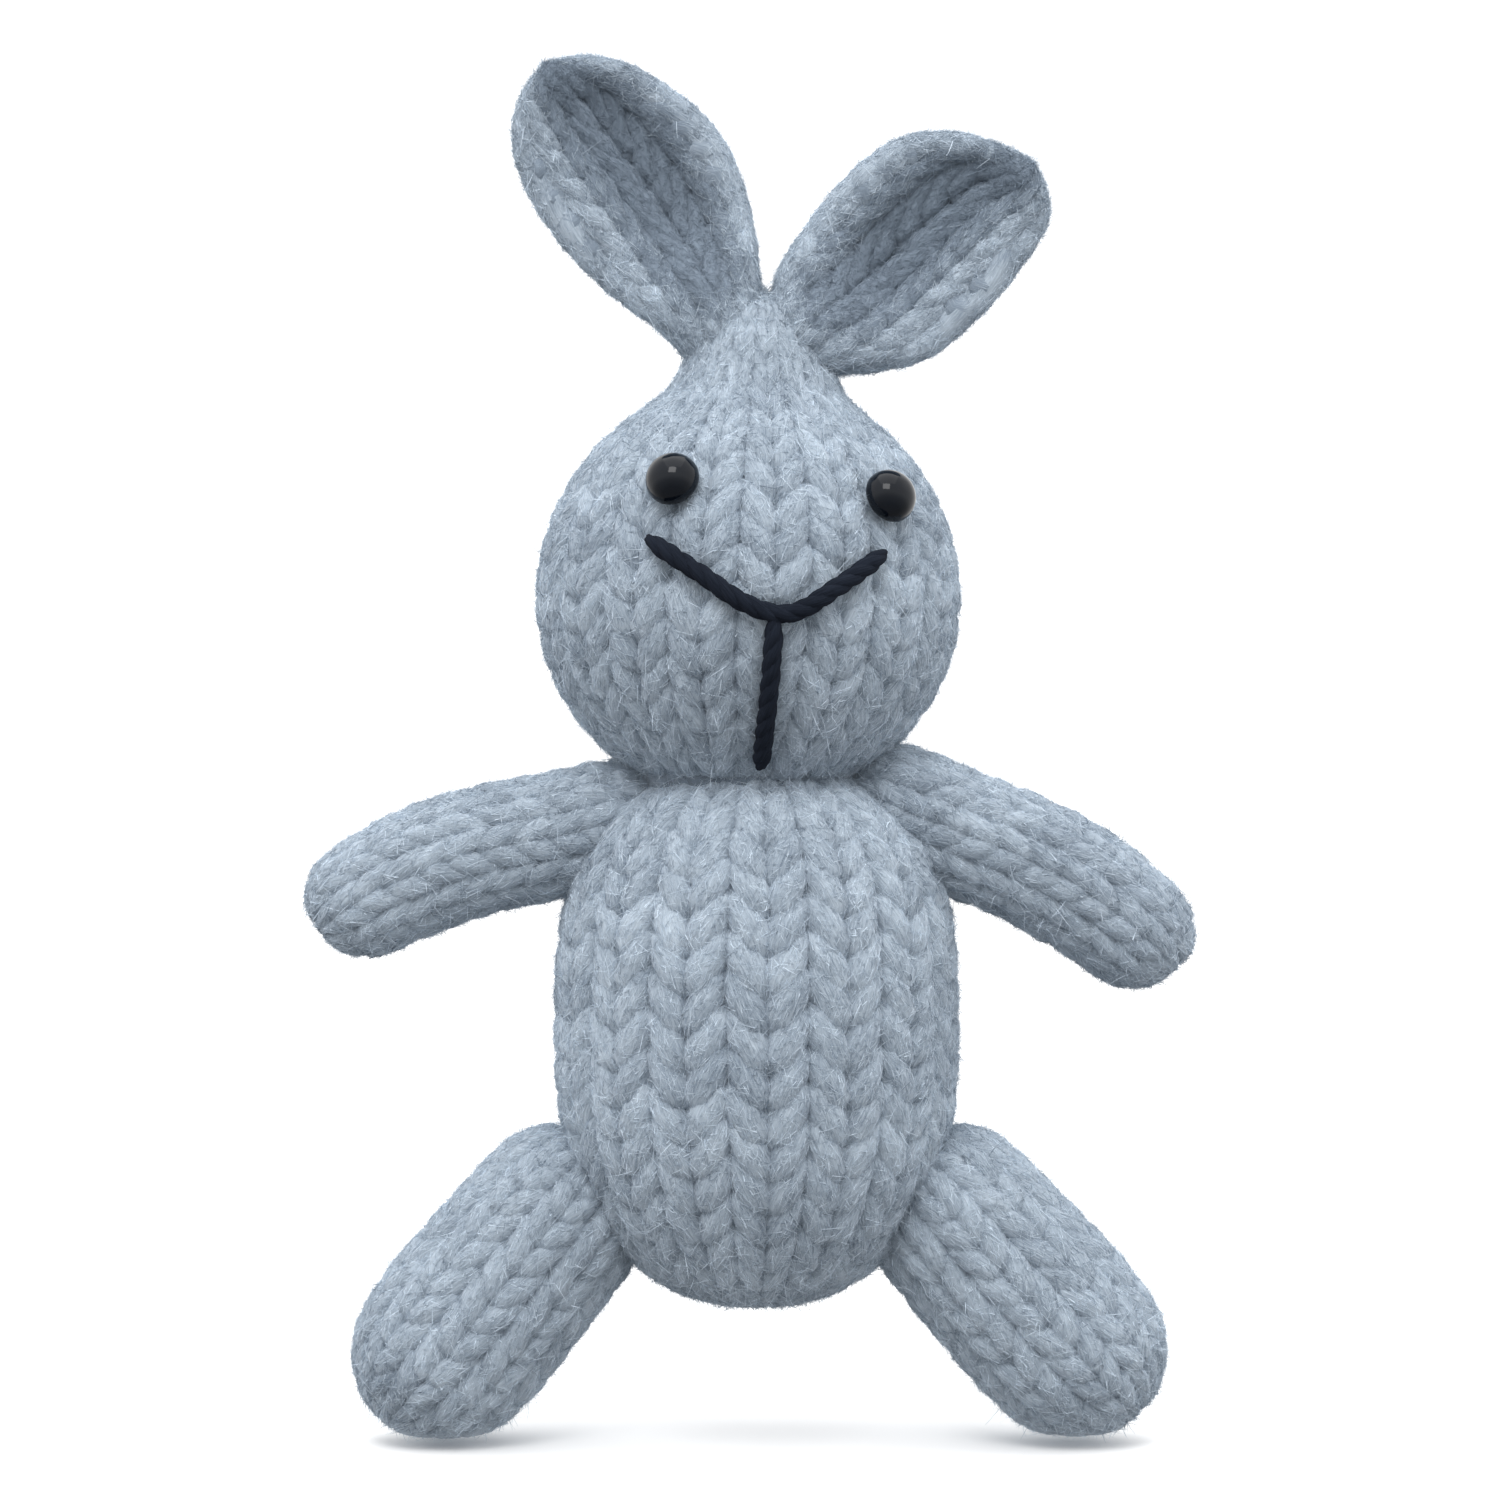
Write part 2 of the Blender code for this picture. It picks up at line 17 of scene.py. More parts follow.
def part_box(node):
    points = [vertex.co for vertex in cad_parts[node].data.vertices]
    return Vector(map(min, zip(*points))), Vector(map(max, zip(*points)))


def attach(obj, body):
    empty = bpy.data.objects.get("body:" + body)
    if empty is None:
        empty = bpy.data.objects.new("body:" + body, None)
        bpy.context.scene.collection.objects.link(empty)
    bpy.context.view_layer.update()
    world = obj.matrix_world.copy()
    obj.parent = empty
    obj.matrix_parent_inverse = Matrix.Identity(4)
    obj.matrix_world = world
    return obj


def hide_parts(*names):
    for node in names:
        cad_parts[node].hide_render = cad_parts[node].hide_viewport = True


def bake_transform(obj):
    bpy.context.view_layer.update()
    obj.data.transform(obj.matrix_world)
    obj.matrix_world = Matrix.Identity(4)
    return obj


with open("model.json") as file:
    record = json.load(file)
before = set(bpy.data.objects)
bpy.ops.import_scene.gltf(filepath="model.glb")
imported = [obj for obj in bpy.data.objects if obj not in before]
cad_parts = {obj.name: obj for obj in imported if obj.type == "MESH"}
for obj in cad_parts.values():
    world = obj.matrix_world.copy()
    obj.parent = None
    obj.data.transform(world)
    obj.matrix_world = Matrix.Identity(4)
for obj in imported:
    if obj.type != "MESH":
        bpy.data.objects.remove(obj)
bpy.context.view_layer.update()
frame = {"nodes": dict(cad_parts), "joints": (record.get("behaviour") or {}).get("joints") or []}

bl_info = {
    "name": "Knitted Bunny",
    "version": (1, 0, 0),
    "blender": (4, 5, 0),
    "location": "3D View > Sidebar > Bunny",
    "description": "Knits the covers of a stuffed bunny round its frame, and adds its filling, eyes and mouth",
    "category": "Object",
}

MM = 0.001
UPRIGHT = np.array([0, 0, 1.0])
FRONT = np.array([0, -1.0, 0])
JOINTS = {joint["name"]: joint for joint in frame["joints"]}
SIDES = {"left": 1.0, "right": -1.0}

# One knitted loop: how far its legs lean in, in stitches, and how far it reaches up and down, in rows. Its legs
# stand out at their foot and lie in at their top by the tuck, in yarn radii.
LOOP_LEAN = 0.235
LOOP_REACH = 1.15
LOOP_TUCK = 0.35
LOOP_STEPS = 16  # points on each stitch
YARN_SIDES = 10
EAR_LOOP_DEPTH = 0.5
# The yarn's radius, in stitches.
PLUMP = {"torso": 0.242, "head": 0.242, "arm": 0.27, "leg": 0.265, "ear": 0.275}

# The two kinds of loose fibre: a kind's share of all of them, and its length, width and lift beside the settings'.
# A fibre of one segment is a straight blade, and one of more is a bowed strand.
NAP = {"share": 0.94, "length": 0.6, "width": 1.0, "lift": 0.8, "segments": 1}
HALO = {"share": 0.06, "length": 1.0, "width": 1.2, "lift": 1.6, "segments": 2}
ONE_NAP_AREA = 3500  # a cover with more surface, in square mm, gets its nap in two pieces
BLADE_TURN = -1.45  # stands a flat triangle up on its base, in radians
EAR_FUZZ = 1.7  # how much denser the fibres are on the ears

# The torso and the head, in mm. The head's heights are from its centre, and its crown holds (radius, height).
TORSO_TOP_POWER = 3.0
TORSO_SEAT_POWER = 2.3
TORSO_TALL = 27.0
HEAD_CENTRE = 17.3
HEAD_UPPER = 22.2
HEAD_LOWER = 20.5
HEAD_RADIUS = 21.6
HEAD_FROM = -19.4
CROWN = [
    (10.9, 19.3), (9.3, 20.7), (8.3, 22.0), (7.7, 23.6), (7.0, 25.4), (5.9, 27.4), (4.5, 29.2), (2.6, 30.4), (0.3, 30.9)
]
NECK_LINE = [(0.3, -6.6), (6.5, -6.0), (9.4, -3.4), (10.0, 0.0), (9.6, 3.4), (6.5, 6.0), (0.3, 6.6)]
BODY_SHADE_SHEET = 1.9  # how far the dark sheet of painted shade lies under the stitches, in yarn radii
BODY_FILLING_INSET = 5.4

# Limbs: (radius, distance from the knot), from the tip back to the root inside the torso. Angles are in degrees.
ARM_HAND = (6.2, 18.0)
ARM_LINE = [
    (6.55, 14.5), (6.75, 10.5), (6.7, 6.0), (6.6, 1.0), (6.65, -4.0), (6.7, -8.0), (6.0, -11.0), (3.6, -13.4),
    (0.3, -14.4),
]
ARM_DROOP = {"left": 29.6, "right": 18.7}
ARM_ARCH = 0.9
ROOT_BOW = 2.6  # how steeply an arched limb's root goes down, beside its arch
LEG_FOOT = (9.8, 14.9)
LEG_LINE = [
    (10.1, 12.0), (10.05, 8.5), (9.9, 4.5), (9.7, 0.5), (9.4, -3.5), (8.4, -7.0), (5.8, -9.8), (2.6, -11.3),
    (0.3, -11.6),
]
LEG_LEANS = {"left": 42.0, "right": 39.6}
LEG_HIP = 0.9  # how far a leg stands out from its knot
SOLE_DEPTH = 2.2
SOLE_SOFTNESS = 2.2
SOLE_HEIGHT = 0.03

EAR_LEANS = {"left": 45.5, "right": -31.5}
# Each ear's edge: (distance from its knot, width to its lower-x side, width to its higher-x side).
EAR_EDGES = {
    "left": [
        (-2.6, 2.4, 1.8), (-0.5, 5.0, 3.6), (3.5, 7.7, 6.7), (8.0, 9.0, 9.2), (13.0, 9.9, 9.8), (18.0, 10.0, 9.5),
        (22.0, 9.1, 8.8), (25.0, 6.9, 8.0), (27.3, 3.8, 6.8), (29.0, 0.6, 4.2), (29.6, -1.6, 1.9),
    ],
    "right": [
        (-2.6, 2.0, 2.2), (-0.5, 3.6, 4.6), (4.0, 4.9, 6.9), (9.0, 7.2, 8.9), (14.0, 8.8, 10.1), (18.0, 9.6, 10.4),
        (22.0, 9.8, 9.5), (26.0, 9.3, 7.7), (29.5, 7.6, 5.2), (32.0, 4.8, 1.9), (33.2, 1.9, -1.6),
    ],
}
EAR_THICK = 2.7
EAR_ROOT_SWELL = 2.9
EAR_HOLLOW = 5.2
# How far the ears' dark sheet of painted shade lies under their stitches, in mm.
EAR_SHADE_SHEET = 1.5
HOLLOW_SPREAD = 0.52  # half the hollow's width, as a share of half the ear's
HOLLOW_SHIFT = {"left": -0.15, "right": 0.2}
HOLLOW_ROOM = 2.5  # keeps the hollow's wall from folding into itself
# Painted shade: how much darker the middle of an ear's hollow is made.
HOLLOW_PAINTED_SHADE = 0.55

# The face. A line holds (degrees round the head from its front, height from its centre).
EYE_RADIUS = 2.65
EYE_HEIGHT = 2.5
EYE_BACK = 1.6
SMILE = [(-27.0, 4.7), (-12.0, 1.5), (-2.0, -0.8), (7.0, -1.9), (14.0, -1.4), (23.0, 0.9), (37.0, 4.4)]
LIP_LINE = [(7.0, -2.3), (7.1, -5.0), (7.2, -8.0), (7.3, -11.0), (7.7, -14.0), (8.5, -16.4)]
EYE_DENT = 1.3  # how deep an eye and the mouth press into the knitting
MOUTH_DENT = 0.9

# The stage, in metres.
FLOOR_REACH = 3.0
ROOM_LIGHT = 1.6
CAMERA_DISTANCE = 0.417
CAMERA_HEIGHT = 0.0693
CAMERA_LENS = 100.0  # in mm
LAMP_TARGET = 0.06
# Each lamp: its place, its size and its power in watts.
LAMPS = {
    "overhead_softbox": ((0.0, -0.05, 0.75), (0.7, 0.7), 1.2),
    "front_softbox": ((-0.06, -0.42, 0.50), (0.28, 0.24), 1.5),
}


# ---------------------------------------------------------------- forms
def joint_place(name):
    return np.array(JOINTS[name]["pos_m"]) / MM


def smooth_through(points, steps):
    """A smooth curve through points of any dimension, with that many steps for each span."""
    points = np.array(points, float)
    padded = np.vstack([2 * points[0] - points[1], points, 2 * points[-1] - points[-2]])
    t = np.arange(steps)[:, None] / steps
    spans = []
    for before, here, there, after in zip(padded, padded[1:], padded[2:], padded[3:]):
        square, cube = 2 * before - 5 * here + 4 * there - after, 3 * here - before - 3 * there + after
        spans.append(0.5 * (2 * here + (there - before) * t + square * t**2 + cube * t**3))
    return np.vstack([*spans, points[-1:]])


def evenly(points, spacing):
    """The same line with its points that far apart."""
    step = np.linalg.norm(np.diff(points, axis=0), axis=1)
    run = np.concatenate([[0], np.cumsum(step)])
    wanted = np.linspace(0, run[-1], max(4, int(round(run[-1] / spacing))))
    return np.stack([np.interp(wanted, run, column) for column in points.T], axis=1)


def unit(vectors):
    length = np.linalg.norm(vectors, axis=-1, keepdims=True)
    return vectors / np.maximum(length, 1e-9)


class Form:
    """A soft closed shape: rows of points from one end to the other, each row going once round it."""

    def __init__(self, points):
        self.points = points
        self.rows, self.columns = points.shape[:2]
        step = np.linalg.norm(np.diff(points, axis=0), axis=2).mean(axis=1)
        self.run = np.concatenate([[0], np.cumsum(step)])
        self.girth = np.linalg.norm(np.roll(points, -1, 1) - points, axis=2).sum(axis=1)
        across = np.roll(points, -1, 1) - np.roll(points, 1, 1)
        normals = unit(np.cross(across, np.gradient(points, axis=0)))
        outward = points - points.mean(axis=(0, 1))
        self.normals = normals * np.sign((normals * outward).sum())

    def at(self, turn, run, lift=0.0):
        """Points and outward directions at shares of a turn and distances along, raised by lift."""
        row = np.interp(run, self.run, np.arange(self.rows))
        column = np.mod(turn, 1.0) * self.columns
        i = np.minimum(row.astype(int), self.rows - 2)
        j = column.astype(int) % self.columns
        up, over = (row - i)[:, None], (column - np.floor(column))[:, None]
        after = (j + 1) % self.columns

        def mixed(grid):
            low = grid[i, j] * (1 - over) + grid[i, after] * over
            high = grid[i + 1, j] * (1 - over) + grid[i + 1, after] * over
            return low * (1 - up) + high * up

        out = unit(mixed(self.normals))
        return mixed(self.points) + out * np.asarray(lift, float).reshape(-1, 1), out

    def area(self):
        """The surface in square mm."""
        return float((self.girth[:-1] * np.diff(self.run)).sum())

    def run_at(self, height, axis, origin):
        """The distance along at which the shape has that height on an axis."""
        heights = (self.points.mean(axis=1) - origin) @ axis
        order = np.argsort(heights)
        return np.interp(height, heights[order], self.run[order])


def turned_form(outline, origin, up, front, arch=0.0, reach=1.0, columns=96):
    """A form turned about a line that may arch. The outline holds (radius, distance along up)."""
    outline = evenly(np.array(outline, float), 0.35)
    side = np.cross(front, up)
    angles = 2 * math.pi * np.arange(columns) / columns
    ring = np.cos(angles)[:, None] * front + np.sin(angles)[:, None] * -side
    share = outline[:, 1] / reach
    bow = arch * np.where(share > 0, 1 - (2 * share - 1) ** 2, ROOT_BOW * share)
    slope = arch * np.where(share > 0, -4 * (2 * share - 1), ROOT_BOW) / reach
    lifted = np.cross(up, front)
    lifted = lifted if lifted[2] > 0 else -lifted
    centre = origin + outline[:, 1:] * up + bow[:, None] * lifted
    points = centre[:, None, :] + outline[:, :1, None] * ring
    tipped = outline[:, :1] * (ring @ lifted)
    return Form(points - (tipped * slope[:, None])[..., None] * up)


def torso_form():
    """The body, from the seat to the neck."""
    low, high = (np.array(corner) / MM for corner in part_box("torso_cover"))
    radius = (high[0] - low[0]) / 2
    middle = low[2] + TORSO_TALL
    origin = np.array([(low[0] + high[0]) / 2, (low[1] + high[1]) / 2, middle])
    outline = []
    for angle in np.radians(np.linspace(-89.6, 84.0, 84)):
        power = TORSO_TOP_POWER if angle > 0 else TORSO_SEAT_POWER
        share = abs(math.sin(angle))
        outline.append((radius * (1 - share**power) ** (1 / power), TORSO_TALL * math.sin(angle)))
    return turned_form(outline, origin, UPRIGHT, FRONT)


def head_axes():
    """The neck's knot, the head's centre and the way that the head stands up from the knot."""
    knot, up = joint_place("neck_turn"), np.array(JOINTS["neck_turn"]["axis"], float)
    return knot, knot + up * HEAD_CENTRE, up


def head_form():
    """The ball of the head with the drawn-in crown on top."""
    _, centre, up = head_axes()
    outline = []
    last = math.degrees(math.asin(CROWN[0][1] / HEAD_UPPER)) - 4
    for angle in np.radians(np.linspace(math.degrees(math.asin(HEAD_FROM / HEAD_LOWER)), last, 50)):
        reach = HEAD_UPPER if angle > 0 else HEAD_LOWER
        outline.append((HEAD_RADIUS * math.cos(angle), reach * math.sin(angle)))
    crown = smooth_through([*outline[-3:], *CROWN], 6)
    return turned_form([*outline[:-3], *crown], centre, up, FRONT)


def limb_form(tip, line, origin, along, arch=0.0):
    """A stuffed tube from its round tip back to its root."""
    radius, middle = tip
    cap = [(radius * math.sin(a), middle + radius * math.cos(a)) for a in np.radians(np.linspace(1.5, 86, 24))]
    outline = np.vstack([cap[:-2], smooth_through([*cap[-2:], *line], 6)])
    return turned_form(outline, origin, along, FRONT, arch, middle)


def flat_sole(points):
    """Presses what would go below the floor flat on it, softly."""
    low = points[..., 2]
    share = np.clip((SOLE_DEPTH - low) / (2 * SOLE_DEPTH), 0, None)
    height = np.where(low < SOLE_DEPTH, SOLE_DEPTH * np.exp(-SOLE_SOFTNESS * share), low)
    return np.concatenate([points[..., :2], np.maximum(height, SOLE_HEIGHT)[..., None]], axis=-1)


def smooth_step(low, high, value):
    share = np.clip((value - low) / (high - low), 0, 1)
    return share * share * (3 - 2 * share)


def ear_form(side):
    """A cupped ear from its root to its round tip: a wall of even thickness about a line that dips in the hollow."""
    _, _, head_up = head_axes()
    lean = math.radians(EAR_LEANS[side]) + math.atan2(head_up[0], head_up[2])
    up = np.array([math.sin(lean), 0, math.cos(lean)])
    across = np.array([math.cos(lean), 0, -math.sin(lean)])
    origin = joint_place(f"ear_lean_{side}")
    edge = evenly(smooth_through(EAR_EDGES[side], 8), 0.4)
    length = edge[-1, 0]
    angles = 2 * math.pi * np.arange(192) / 192
    over = np.sin(angles)
    facing = -np.sign(np.cos(angles)) * np.abs(np.cos(angles)) ** 0.75
    off = (over - HOLLOW_SHIFT[side]) / HOLLOW_SPREAD
    rows = []
    for along, lower, higher in edge:
        half, middle = (lower + higher) / 2, (higher - lower) / 2
        share = along / length
        swell = EAR_ROOT_SWELL * (1 - smooth_step(0.08, 0.42, share))
        thick = (EAR_THICK + swell) * min(1.0, half / 5.0) ** 0.7
        hollow = EAR_HOLLOW * smooth_step(0.02, 0.38, share) * (1 - smooth_step(0.70, 0.94, share))
        hollow = min(hollow, (HOLLOW_SPREAD * half) ** 2 / (HOLLOW_ROOM * thick))
        dip = np.exp(-(off**2)) * hollow
        slope = -2 * off * dip / (HOLLOW_SPREAD * half)
        reach = thick * facing / np.sqrt(1 + slope**2)
        row = np.stack([middle + half * over - slope * reach, dip + reach], axis=1)
        closed = np.vstack([row, row[:1]])
        step = np.linalg.norm(np.diff(closed, axis=0), axis=1)
        run = np.concatenate([[0], np.cumsum(step)])
        wanted = np.linspace(0, run[-1], 97)[:-1]
        row = np.stack([np.interp(wanted, run, column) for column in closed.T], axis=1)
        rows.append(origin + row[:, :1] * across - row[:, 1:] * FRONT + along * up)
    return Form(np.array(rows))


# ---------------------------------------------------------------- meshes
def new_object(name, points, edges=(), faces=()):
    """A mesh object whose points are given in mm."""
    mesh = bpy.data.meshes.new(name)
    mesh.from_pydata((np.asarray(points) * MM).tolist(), [tuple(e) for e in edges], [tuple(f) for f in faces])
    made = bpy.data.objects.new(name, mesh)
    bpy.context.scene.collection.objects.link(made)
    return made


def give_attribute(obj, name, values):
    values = np.asarray(values, np.float32)
    kind = "FLOAT_VECTOR" if values.ndim == 2 else "FLOAT"
    made = obj.data.attributes.new(name, kind, "POINT")
    made.data.foreach_set("vector" if values.ndim == 2 else "value", values.ravel())


def skin(name, form, inset, finish, lumps=0.0, lump_size=3.0):
    """A closed skin under a form's surface, with soft lumps."""
    picked = np.unique(np.linspace(0, form.rows - 1, min(form.rows, 60)).astype(int))
    picked = picked[form.girth[picked] > 2 * math.pi * (inset + 0.4)]
    columns = np.arange(0, form.columns, 2)
    normals = form.normals[picked][:, columns]
    points = form.points[picked][:, columns] - normals * inset
    if lumps:
        swell = np.array([noise.noise(Vector(p / lump_size)) for p in points.reshape(-1, 3)]) * lumps
        points = points + normals * swell.reshape(*points.shape[:2], 1)
    count, around = points.shape[:2]
    faces = [
        (r * around + c, r * around + (c + 1) % around, (r + 1) * around + (c + 1) % around, (r + 1) * around + c)
        for r in range(count - 1)
        for c in range(around)
    ]
    ends = [points[0].mean(axis=0), points[-1].mean(axis=0)]
    first, last = count * around, count * around + 1
    faces += [(first, (c + 1) % around, c) for c in range(around)]
    top = (count - 1) * around
    faces += [(last, top + c, top + (c + 1) % around) for c in range(around)]
    made = new_object(name, np.vstack([points.reshape(-1, 3), ends]), (), faces)
    shape = bmesh.new()
    shape.from_mesh(made.data)
    bmesh.ops.recalc_face_normals(shape, faces=shape.faces)
    shape.to_mesh(made.data)
    shape.free()
    made.data.polygons.foreach_set("use_smooth", [True] * len(made.data.polygons))
    made.data.materials.append(finish)
    return made


def closed_paths(name, courses):
    """One mesh of closed paths. Each course holds points, thickness, flow, out, run, shade and showing."""
    points, edges, start = [], [], 0
    for course in courses:
        count = len(course["points"])
        index = start + np.arange(count)
        pairs = np.stack([index, np.roll(index, -1)], axis=1)
        edges.append(pairs if course.get("closed", True) else pairs[:-1])
        points.append(course["points"])
        start += count
    made = new_object(name, np.vstack(points), np.vstack(edges))
    for key in ("thickness", "flow", "out", "run", "shade", "showing"):
        give_attribute(made, key, np.concatenate([course[key] for course in courses]))
    return made


# ---------------------------------------------------------------- node trees
def link(tree, source, target):
    tree.links.new(source, target)


def add_node(tree, kind, inputs=None, **settings):
    """A node with its settings, and its inputs by name or index: a socket is linked, a value is set."""
    made = tree.nodes.new(kind)
    for key, value in settings.items():
        setattr(made, key, value)
    for key, value in (inputs or {}).items():
        if isinstance(value, bpy.types.NodeSocket):
            tree.links.new(value, made.inputs[key])
        else:
            made.inputs[key].default_value = value
    return made


def calc(tree, operation, *values):
    """A math node's result. Each value is a number or a socket."""
    return add_node(tree, "ShaderNodeMath", dict(enumerate(values)), operation=operation).outputs[0]


def vector_calc(tree, operation, first, second):
    """A vector math node's result. To scale a vector, the second value is a number."""
    inputs = {0: first, "Scale" if operation == "SCALE" else 1: second}
    made = add_node(tree, "ShaderNodeVectorMath", inputs, operation=operation)
    return made.outputs["Value" if operation == "DOT_PRODUCT" else "Vector"]


def vector_of(tree, x=0.0, y=0.0, z=0.0):
    return add_node(tree, "ShaderNodeCombineXYZ", {0: x, 1: y, 2: z}).outputs[0]


def stored(tree, geometry, name, value, kind):
    """The geometry with a value stored on its points."""
    inputs = {"Geometry": geometry, "Name": name, "Value": value}
    return add_node(tree, "GeometryNodeStoreNamedAttribute", inputs, data_type=kind, domain="POINT").outputs[0]


def random_number(tree, low, high, seed):
    return add_node(tree, "FunctionNodeRandomValue", {2: low, 3: high, "Seed": seed}, data_type="FLOAT").outputs[1]


def new_tree(name, inputs):
    """A geometry node tree with named inputs of those kinds, and its input and output nodes."""
    tree = bpy.data.node_groups.new(name, "GeometryNodeTree")
    for label, kind in inputs.items():
        tree.interface.new_socket(label, in_out="INPUT", socket_type="NodeSocket" + kind)
    tree.interface.new_socket("Geometry", in_out="OUTPUT", socket_type="NodeSocketGeometry")
    return tree, tree.nodes.new("NodeGroupInput"), tree.nodes.new("NodeGroupOutput")


def finish_tree(tree, geometry, given, out):
    realized = add_node(tree, "GeometryNodeRealizeInstances", {"Geometry": geometry})
    painted = add_node(
        tree, "GeometryNodeSetMaterial", {"Geometry": realized.outputs[0], "Material": given.outputs["Finish"]}
    )
    link(tree, painted.outputs[0], out.inputs[0])
    return tree


def attribute_of(tree, name, kind="FLOAT"):
    return add_node(tree, "GeometryNodeInputNamedAttribute", {"Name": name}, data_type=kind).outputs[0]


def yarn_tree():
    """Sweeps a round yarn along every path, as thick as the path says at each point."""
    tree, given, out = new_tree("yarn_along_paths", {"Paths": "Geometry", "Sides": "Int", "Finish": "Material"})
    curves = add_node(tree, "GeometryNodeMeshToCurve", {"Mesh": given.outputs["Paths"]})
    ring = add_node(tree, "GeometryNodeCurvePrimitiveCircle", {"Resolution": given.outputs["Sides"], "Radius": 1.0})
    position = add_node(tree, "GeometryNodeInputPosition").outputs[0]
    swept = add_node(
        tree,
        "GeometryNodeCurveToMesh",
        {
            "Curve": curves.outputs[0],
            "Profile Curve": stored(tree, ring.outputs[0], "wrap", position, "FLOAT_VECTOR"),
            "Scale": attribute_of(tree, "thickness"),
            "Fill Caps": True,
        },
    )
    smooth = add_node(tree, "GeometryNodeSetShadeSmooth", {"Geometry": swept.outputs[0]})
    return finish_tree(tree, smooth.outputs[0], given, out)


def fuzz_tree():
    """Lays loose fibres on the outer side of a yarn, mostly the way that it runs."""
    numbers = dict.fromkeys(["Density", "Length", "Width", "Lift", "Scatter"], "Float")
    inputs = {"Yarn": "Geometry", **numbers, "Segments": "Int", "Seed": "Int", "Finish": "Material"}
    tree, given, out = new_tree("fibres_on_yarn", inputs)
    normal = add_node(tree, "GeometryNodeInputNormal").outputs[0]
    facing = vector_calc(tree, "DOT_PRODUCT", normal, attribute_of(tree, "out", "FLOAT_VECTOR"))
    spread = add_node(
        tree,
        "GeometryNodeDistributePointsOnFaces",
        {
            "Mesh": given.outputs["Yarn"],
            "Selection": calc(tree, "GREATER_THAN", facing, 0.3),
            "Density": calc(tree, "MULTIPLY", given.outputs["Density"], attribute_of(tree, "showing")),
            "Seed": given.outputs["Seed"],
        },
        distribute_method="RANDOM",
    )
    outwards = spread.outputs["Normal"]

    # Most fibres point the way that the yarn runs, and the others back along it. All lift and stray a little.
    way = calc(tree, "SIGN", random_number(tree, -0.5, 1.0, 11))
    lying = vector_calc(tree, "SCALE", attribute_of(tree, "flow", "FLOAT_VECTOR"), way)
    risen = vector_calc(tree, "SCALE", outwards, given.outputs["Lift"])
    anywhere = add_node(
        tree,
        "FunctionNodeRandomValue",
        {0: (-1.0, -1.0, -1.0), 1: (1.0, 1.0, 1.0), "Seed": 17},
        data_type="FLOAT_VECTOR",
    )
    stray = vector_calc(tree, "CROSS_PRODUCT", anywhere.outputs[0], outwards)
    strayed = vector_calc(tree, "SCALE", stray, given.outputs["Scatter"])
    heading = vector_calc(tree, "ADD", vector_calc(tree, "ADD", lying, risen), strayed)
    rolled = vector_of(tree, z=random_number(tree, 0.0, 6.283, 23))
    start = add_node(tree, "FunctionNodeEulerToRotation", {0: rolled})
    aimed = add_node(
        tree, "FunctionNodeAlignRotationToVector", {"Rotation": start.outputs[0], "Vector": heading}, axis="Z"
    )

    length, width = given.outputs["Length"], given.outputs["Width"]
    bow = add_node(
        tree,
        "GeometryNodeCurveQuadraticBezier",
        {
            "Resolution": given.outputs["Segments"],
            "Start": (0, 0, -0.12),
            "Middle": (0.05, 0, 0.5),
            "End": (0.36, 0, 0.94),
        },
    )
    long = add_node(
        tree, "GeometryNodeTransform", {"Geometry": bow.outputs[0], "Scale": vector_of(tree, length, length, length)}
    )
    flat = add_node(tree, "GeometryNodeCurvePrimitiveLine", {"Start": (-0.5, 0, 0), "End": (0.5, 0, 0)})
    factor = add_node(tree, "GeometryNodeSplineParameter").outputs[0]
    strand = add_node(
        tree,
        "GeometryNodeCurveToMesh",
        {
            "Curve": long.outputs[0],
            "Profile Curve": flat.outputs[0],
            "Scale": calc(tree, "MULTIPLY", calc(tree, "MULTIPLY_ADD", factor, -0.8, 1.0), width),
        },
    )
    triangle = add_node(tree, "GeometryNodeMeshCircle", {"Vertices": 3}, fill_type="NGON")
    blade = add_node(
        tree,
        "GeometryNodeTransform",
        {
            "Geometry": triangle.outputs[0],
            "Scale": vector_of(tree, length, width, 1.0),
            "Rotation": (0, BLADE_TURN, 0),
        },
    )
    fibre = add_node(
        tree,
        "GeometryNodeSwitch",
        {
            "Switch": calc(tree, "GREATER_THAN", given.outputs["Segments"], 1.5),
            "False": blade.outputs[0],
            "True": strand.outputs[0],
        },
        input_type="GEOMETRY",
    )
    smooth = add_node(tree, "GeometryNodeSetShadeSmooth", {"Geometry": fibre.outputs[0]})
    placed = add_node(
        tree,
        "GeometryNodeInstanceOnPoints",
        {
            "Points": stored(tree, spread.outputs["Points"], "tint", random_number(tree, 0.0, 1.0, 31), "FLOAT"),
            "Instance": smooth.outputs[0],
            "Rotation": aimed.outputs[0],
            "Scale": random_number(tree, 0.45, 1.25, 29),
        },
    )
    return finish_tree(tree, placed.outputs[0], given, out)


def grown(obj, tree, name, **values):
    """The plain mesh that a node tree makes from an object, as a new object. The values go by socket name."""
    modifier = obj.modifiers.new(tree.name, "NODES")
    modifier.node_group = tree
    for socket in tree.interface.items_tree:
        key = socket.name.lower()
        if socket.in_out == "INPUT" and key in values:
            modifier[socket.identifier] = values[key]
    graph = bpy.context.evaluated_depsgraph_get()
    graph.update()
    mesh = bpy.data.meshes.new_from_object(obj.evaluated_get(graph), depsgraph=graph)
    mesh.name = name
    obj.modifiers.remove(modifier)
    made = bpy.data.objects.new(name, mesh)
    bpy.context.scene.collection.objects.link(made)
    return made


# ---------------------------------------------------------------- finishes
def principled(name):
    made = bpy.data.materials.new(name)
    made.use_nodes = True
    return made, made.node_tree, made.node_tree.nodes["Principled BSDF"]


def ramp(tree, factor, stops):
    made = add_node(tree, "ShaderNodeValToRGB", {0: factor})
    points = made.color_ramp.elements
    while len(points) < len(stops):
        points.new(0.5)
    for point, (share, tone) in zip(points, stops):
        point.position = share
        point.color = (*tone, 1.0)
    return made.outputs[0]


